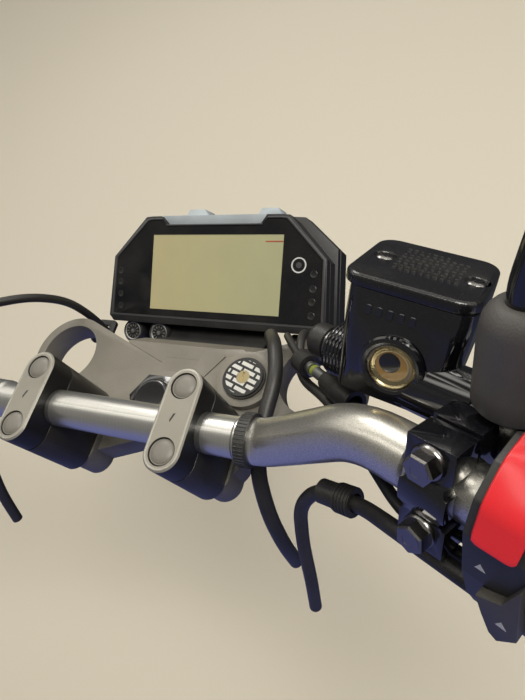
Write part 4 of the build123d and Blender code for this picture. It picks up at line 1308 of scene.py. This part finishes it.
@dataclass
class Grips:
    """Both rubber grips with their ribs."""

    inner: float = 95.6
    outer: float = 223.0
    radius: float = 16.5
    collar: float = 20.0
    rib_rows: int = 15
    rib_step: float = 7.2
    ribs_round: int = 24

    def sleeve(self, side: str, space: Space, body: str, bore: float) -> None:
        """One grip's smooth rubber.

        Args:
            side: left or right.
            space: the grip's space.
            body: the body that it rides on.
            bore: its inner radius.
        """
        low = self.inner + (3.0 if side == "right" else -0.5)
        high = self.outer - 0.5
        collar, radius = self.collar, self.radius
        sleeve = lathe([
            (bore, low), (collar - 0.6, low), (collar, low + 0.8), (collar, low + 3.6), (collar - 1.0, low + 4.8),
            (radius - 0.9, low + 6.5), (radius - 1.3, low + 12), (radius - 0.9, (low + high) / 2),
            (radius - 1.3, high - 12), (radius - 0.4, high - 5), (radius, high - 2), (radius - 0.8, high), (bore, high),
        ], 64)
        Piece(f"grip_sleeve_{side}", Paints.RUBBER, body, (f"grip_{side}",)).from_shell(sleeve, space)

    def ribs(self, side: str, space: Space, body: str) -> None:
        """Staggered rows of small raised bars round the grip.

        Args:
            side: left or right.
            space: the grip's space.
            body: the body that they ride on.
        """
        out = Matrix.Translation((self.radius - 0.95, 0, 0))
        bar = prism(rounded(1.3, 2.4, 0.5), -2.6, 2.6).moved(out)
        spots = []
        for row in range(self.rib_rows):
            height = self.inner + 16 + row * self.rib_step
            stagger = 180.0 / self.ribs_round * (row % 2)
            spots += [((0.0, 0.0, height), turn) for _, turn in ring_of(self.ribs_round, 1.0, stagger)]
        REPEAT.make(Piece(f"grip_ribs_{side}", Paints.RUBBER, body), bar, spots, space)

    def build(self) -> None:
        """Makes both grips."""
        for (side, space), body, bore in zip(GRIPS, ("throttle", COCKPIT), (13.3, 11.2)):
            self.sleeve(side, space, body, bore)
            self.ribs(side, space, body)


@dataclass
class RightSwitch:
    """The right switch housing's red rocker and its plain marks."""

    start: float = 63.0
    step: float = 76.3
    end: float = 87.0
    step_up: float = 22.0
    corner: float = 3.2
    outer_length: float = 37.0
    columns: int = 18
    rows: int = 40
    outer: tuple[Flat, ...] = ((-25.6, 14.8), (-22.8, 20.4), (-19.4, 26.2), (-10.3, 33.4), (-3.4, 35.2), (2.4, 36.1))
    paddle_mark: Point = (-27.5, -12.0, 75.0)
    housing_mark: Point = (-24.0, 3.0, 66.0)

    def curve(self, share: float) -> Vector:
        """A point of the smooth curve through the outer corners.

        Args:
            share: how far along the rocker's outer side it lies.

        Returns:
            The point.
        """
        last = len(self.outer) - 1
        place = share * last
        number = min(int(place), last - 1)
        picks = [self.outer[max(0, min(last, number + shift))] for shift in (-1, 0, 1, 2)]
        before, low, high, after = (Vector(point) for point in picks)
        t = place - number
        bend = 2 * before - 5 * low + 4 * high - after
        twist = 3 * low - before - 3 * high + after
        return 0.5 * (2 * low + (high - before) * t + bend * t * t + twist * t ** 3)

    def round_off(self, inside: float) -> float:
        """Returns: the share of the outer side that a rounded corner takes, inside mm from the pad's end."""
        short = max(0.0, self.corner - inside)
        return (self.corner - math.sqrt(self.corner ** 2 - short ** 2)) / self.outer_length

    @staticmethod
    def dish(share: float, middle: float) -> float:
        """Returns: the thumb dish's depth, by the shares along and across the pad."""
        return 1.5 * math.exp(-((share - 0.62) / 0.16) ** 2) * max(0.0, math.sin(math.pi * middle))

    def rocker(self) -> None:
        """The red stop rocker: a curved pad, lower half narrower, dished for the thumb."""
        cut = next(step / 100 for step in range(100) if self.curve(step / 100).y > self.step_up)
        points = []
        for row in range(self.rows + 1):
            along = self.start + (self.end - self.start) * row / self.rows
            begin = cut if along > self.step else self.round_off(min(along - self.start, self.step - along))
            middle = (along - self.start) / (self.end - self.start)
            rim = 0.7 if row in (0, self.rows) else 0.0
            for column in range(self.columns + 1):
                share = begin + (1 - begin) * column / self.columns
                at = self.curve(share)
                inward = (Vector((-2.0, 20.0)) - at).normalized()
                at = at + inward * (self.dish(share, middle) + rim - 0.25)
                points.append(Vector((at.x, at.y, along)))
            foot = 20.0 if begin < cut else self.step_up
            points += [Vector((3.4, 30.0, along)), Vector((-16.0, foot, along))]
        size = self.columns + 3
        faces = []
        for row in range(self.rows):
            for column in range(size):
                a, b = row * size + column, row * size + (column + 1) % size
                faces.append((a, b, b + size, a + size))
        faces += [tuple(range(size - 1, -1, -1)), tuple(self.rows * size + column for column in range(size))]
        pad = Piece("stop_rocker", Paints.RED, replaces=("stop_switch",), bevel=0.5, angle=50)
        pad.from_shell(Shell(points, faces), GRIP)

    def marks(self) -> None:
        """Two plain triangles, one on the starter's paddle and one on the housing."""
        triangle = prism([(-1.7, -1.3), (1.7, -1.3), (0.0, 1.6)], 0.0, 0.06)
        for name, at in (("starter_mark", self.paddle_mark), ("housing_mark", self.housing_mark)):
            Piece(name, Paints.WHITE_MARK).from_shell(triangle, GRIP.within(at, Z_AXIS, (-1, 0, 0)))

    def build(self) -> None:
        """Makes the right switch's own pieces."""
        self.rocker()
        self.marks()


@dataclass
class Boots:
    """The rubber boots at the foot of each mirror stem."""

    foot: Point = (24.0, 25.0, 50.0)
    profile: tuple[Flat, ...] = (
        (6.1, 0.0), (14.4, 0.0), (14.8, 0.8), (14.4, 9.0), (14.0, 16.0), (13.6, 24.0), (12.9, 30.0),
        (12.3, 32.4), (11.2, 34.3), (9.9, 35.7), (8.6, 36.6), (7.4, 37.0), (6.1, 37.0),
    )

    def build(self) -> None:
        """Makes both boots."""
        for side, space in GRIPS:
            boot = Piece(f"boot_{side}", Paints.BOOT, COCKPIT, (f"mirror_boot_{side}",), angle=60)
            boot.from_shell(lathe(self.profile, 64), space.within(self.foot, X_AXIS, Y_AXIS))


# Carried-over nodes

NODE_PAINTS: dict[Paints, tuple[str, ...]] = {
    Paints.TAUPE: ("top_yoke", "lock_cowl"),
    Paints.CAP: ("bar_cap_left", "bar_cap_right"),
    Paints.HOLDER: ("bar_holders", "ignition_lock"),
    Paints.BAR: ("handlebar",),
    Paints.ZINC: ("lever_pins", "clutch_adjuster", "cable_rod"),
    Paints.DARK_ZINC: ("clamp_bolts",),
    Paints.LOCK_FACE: ("lock_face",),
    Paints.BRASS: ("lock_key_barrel", "sight_ring"),
    Paints.BLACK_PLASTIC: ("clamp_plugs", "meter_case", "meter_knobs", "throttle_tube"),
    Paints.HOUSING: ("switch_left", "switch_right"),
    Paints.SOFT_BLACK: ("meter_stay", "cable_guides"),
    Paints.TIE: ("loom_band",),
    Paints.PANEL: ("meter_panel",),
    Paints.SCREEN: ("meter_screen",),
    # The hood takes the painted highlight colour.
    Paints.STRIP: ("meter_hood",),
    Paints.RESERVOIR: ("brake_cylinder", "clutch_perch", "control_clamp_left", "control_clamp_right"),
    Paints.LID: ("reservoir_lid",),
    Paints.FLUID: ("sight_window",),
    Paints.LEVER: ("brake_lever", "clutch_lever"),
    Paints.RED: ("stop_switch",),
    Paints.GREY_BUTTON: ("starter_switch", "left_buttons"),
    Paints.RUBBER: ("grip_left", "grip_right"),
    Paints.BOOT: ("mirror_boot_left", "mirror_boot_right"),
    Paints.GLOSS_BLACK: (
        "stem_nut", "mirror_stem_left", "mirror_stem_right", "mirror_head_left", "mirror_head_right",
        "bar_end_left", "bar_end_right",
    ),
    Paints.MIRROR: ("mirror_glass_left", "mirror_glass_right"),
    Paints.HOSE: (
        "brake_hose", "throttle_cable", "throttle_return", "wire_sheath", "clutch_cable",
        "loom_left", "loom_right", "loom_joints", "hose_union",
    ),
}

# Width of the rounded edge in millimetres, and the nodes that get it.
SOFT_EDGES: dict[float, tuple[str, ...]] = {
    0.35: ("bar_holders", "clutch_perch", "meter_case", "meter_stay", "cable_guides", "stem_nut"),
    0.6: ("reservoir_lid", "control_clamp_left", "control_clamp_right", "switch_left", "switch_right"),
    0.5: ("brake_cylinder", "starter_switch", "left_buttons", "top_yoke", "meter_hood"),
}


def home_of(name: str, table: dict) -> object:
    """Returns: the key of the table's entry that lists the name."""
    return next(key for key, names in table.items() if name in names)


def soften_edges(flat_angle: float = 1.0, sharp_angle: float = 32.0) -> None:
    """Replaces blocky nodes by copies of themselves whose sharp edges are rounded.

    Args:
        flat_angle: faces that turn less than this, in degrees, become one.
        sharp_angle: edges past this, in degrees, stay sharp in the shading.
    """
    bodies = frame["record"]["behaviour"]["bodies"]
    for width, names in SOFT_EDGES.items():
        for name in names:
            mesh = frame["nodes"][name].data.copy()
            with merged(mesh) as shape:
                bmesh.ops.dissolve_limit(
                    shape, angle_limit=math.radians(flat_angle), verts=shape.verts, edges=shape.edges,
                )
            paint, body = home_of(name, NODE_PAINTS), home_of(name, bodies)
            Piece(f"{name}_rounded", paint, body, (name,), bevel=width, angle=sharp_angle).finish_mesh(mesh)


def dress_nodes() -> None:
    """Gives every carried-over node its finish."""
    for paint, names in NODE_PAINTS.items():
        for name in names:
            node = frame["nodes"].get(name)
            if node is None:
                LOG.warning("no node %s", name)
                continue
            node.data.materials.clear()
            node.data.materials.append(paint.material())


# Stage

@dataclass(frozen=True)
class Lamp:
    """One soft square lamp: place, aim and side in metres, power in watts."""

    name: str
    at: Point
    aim: Point
    side: float
    power: float
    colour: Colour

    def hang(self) -> None:
        """Puts the lamp in its place, facing its aim."""
        data = bpy.data.lights.new(self.name, "AREA")
        data.shape = "SQUARE"
        data.size = self.side
        data.energy = self.power
        data.color = self.colour
        lamp = placed_object(self.name, data)
        lamp.location = self.at
        lamp.rotation_euler = (Vector(self.aim) - Vector(self.at)).to_track_quat("-Z", "Y").to_euler()


@dataclass
class Studio:
    """Camera, floor, two soft lamps and the room's soft light."""

    lamps: tuple[Lamp, ...] = (
        Lamp("key", (0.70, 0.10, 1.50), (0.10, -0.02, 0.08), 0.7, 17.0, (1.0, 0.97, 0.90)),
        Lamp("far_row", (-0.6, 1.2, 1.1), (0.08, 0.0, 0.05), 0.4, 6.0, (1.0, 0.97, 0.92)),
    )
    camera_at: Point = (0.1894, -0.0868, 0.3009)
    camera_right: Point = (0.919, 0.251, -0.305)
    camera_back: Point = (0.385, -0.403, 0.830)
    lens: float = 25.90
    floor_height: float = -0.36
    floor_reach: float = 6.0
    floor_colour: Colour = (0.60, 0.55, 0.455)
    wall_colour: Colour = (0.52, 0.49, 0.43)
    shade: Colour = (0.040, 0.042, 0.050)
    rider_blue: Colour = (0.15, 0.165, 0.40)
    ceiling_dark: Colour = (0.15, 0.145, 0.135)
    ceiling_bright: Colour = (2.5, 2.42, 2.22)
    ceiling_rows: float = 12.0

    def camera(self) -> None:
        """Puts the camera where the photograph was taken."""
        right, back = Vector(self.camera_right).normalized(), Vector(self.camera_back).normalized()
        right = (right - back * right.dot(back)).normalized()
        turn = Matrix((right, back.cross(right), back)).transposed().to_4x4()
        data = bpy.data.cameras.new("camera")
        data.lens = self.lens
        data.sensor_width = 36.0
        data.clip_start = 0.01
        eye = placed_object("camera", data)
        eye.matrix_world = Matrix.Translation(self.camera_at) @ turn
        bpy.context.scene.camera = eye

    def floor(self) -> None:
        """A plain pale floor, well below the hoses' ends."""
        reach, height = self.floor_reach, self.floor_height
        corners = [(-reach, -reach), (reach, -reach), (reach, reach), (-reach, reach)]
        mesh = Shell([Vector((x, y, height)) for x, y in corners], [(0, 1, 2, 3)]).mesh("floor")
        material = bpy.data.materials.new("pale_floor")
        material.use_nodes = True
        shader = material.node_tree.nodes["Principled BSDF"].inputs
        shader["Base Color"].default_value = (*self.floor_colour, 1.0)
        shader["Roughness"].default_value = 0.8
        mesh.materials.append(material)
        floor = placed_object("floor", mesh)
        floor.visible_glossy = False
        floor.visible_diffuse = False

    def room(self) -> None:
        """The world: rows of soft light overhead, blue from the rider's side, a plain wall to the camera."""
        world = bpy.data.worlds.new("soft_room")
        world.use_nodes = True
        wiring = Wiring(world.node_tree)
        parts = wiring.split(wiring.add("ShaderNodeTexCoord").outputs["Generated"])
        y, z = parts["Y"], parts["Z"]
        low = wiring.blend(wiring.spread(y, 0.3, -0.5), self.shade, self.rider_blue)
        upper = wiring.spread(z, -0.25, 0.35)
        ahead = wiring.math("DIVIDE", y, wiring.math("MAXIMUM", z, 0.12))
        wave = wiring.math("SINE", wiring.math("MULTIPLY", ahead, self.ceiling_rows))
        lit = wiring.math("MULTIPLY", wiring.spread(z, 0.20, 0.40), wiring.spread(ahead, -0.30, -0.05))
        tube = wiring.math("MULTIPLY", wiring.spread(wave, -0.4, 0.9), lit)
        ceiling = wiring.blend(tube, self.ceiling_dark, self.ceiling_bright)
        seen = wiring.add("ShaderNodeLightPath").outputs["Is Camera Ray"]
        light = wiring.blend(seen, wiring.blend(upper, low, ceiling), self.wall_colour)
        background = world.node_tree.nodes["Background"].inputs
        wiring.join(light, background["Color"])
        background["Strength"].default_value = 1.0
        bpy.context.scene.world = world
        bpy.context.scene.view_settings.view_transform = "Standard"

    def build(self) -> None:
        """Sets the whole stage."""
        self.camera()
        self.floor()
        for lamp in self.lamps:
            lamp.hang()
        self.room()


def main() -> None:
    """Builds every sub-assembly in order."""
    logging.basicConfig(level=logging.INFO, format="%(name)s %(message)s")
    Studio().build()
    dress_nodes()
    soften_edges()
    for part in (Display(), Clamps(), Reservoir(), Fasteners(), CableEnds(), Grips(), RightSwitch(), Boots()):
        LOG.info("building %s", type(part).__name__)
        part.build()


if __name__ == "__main__":
    main()
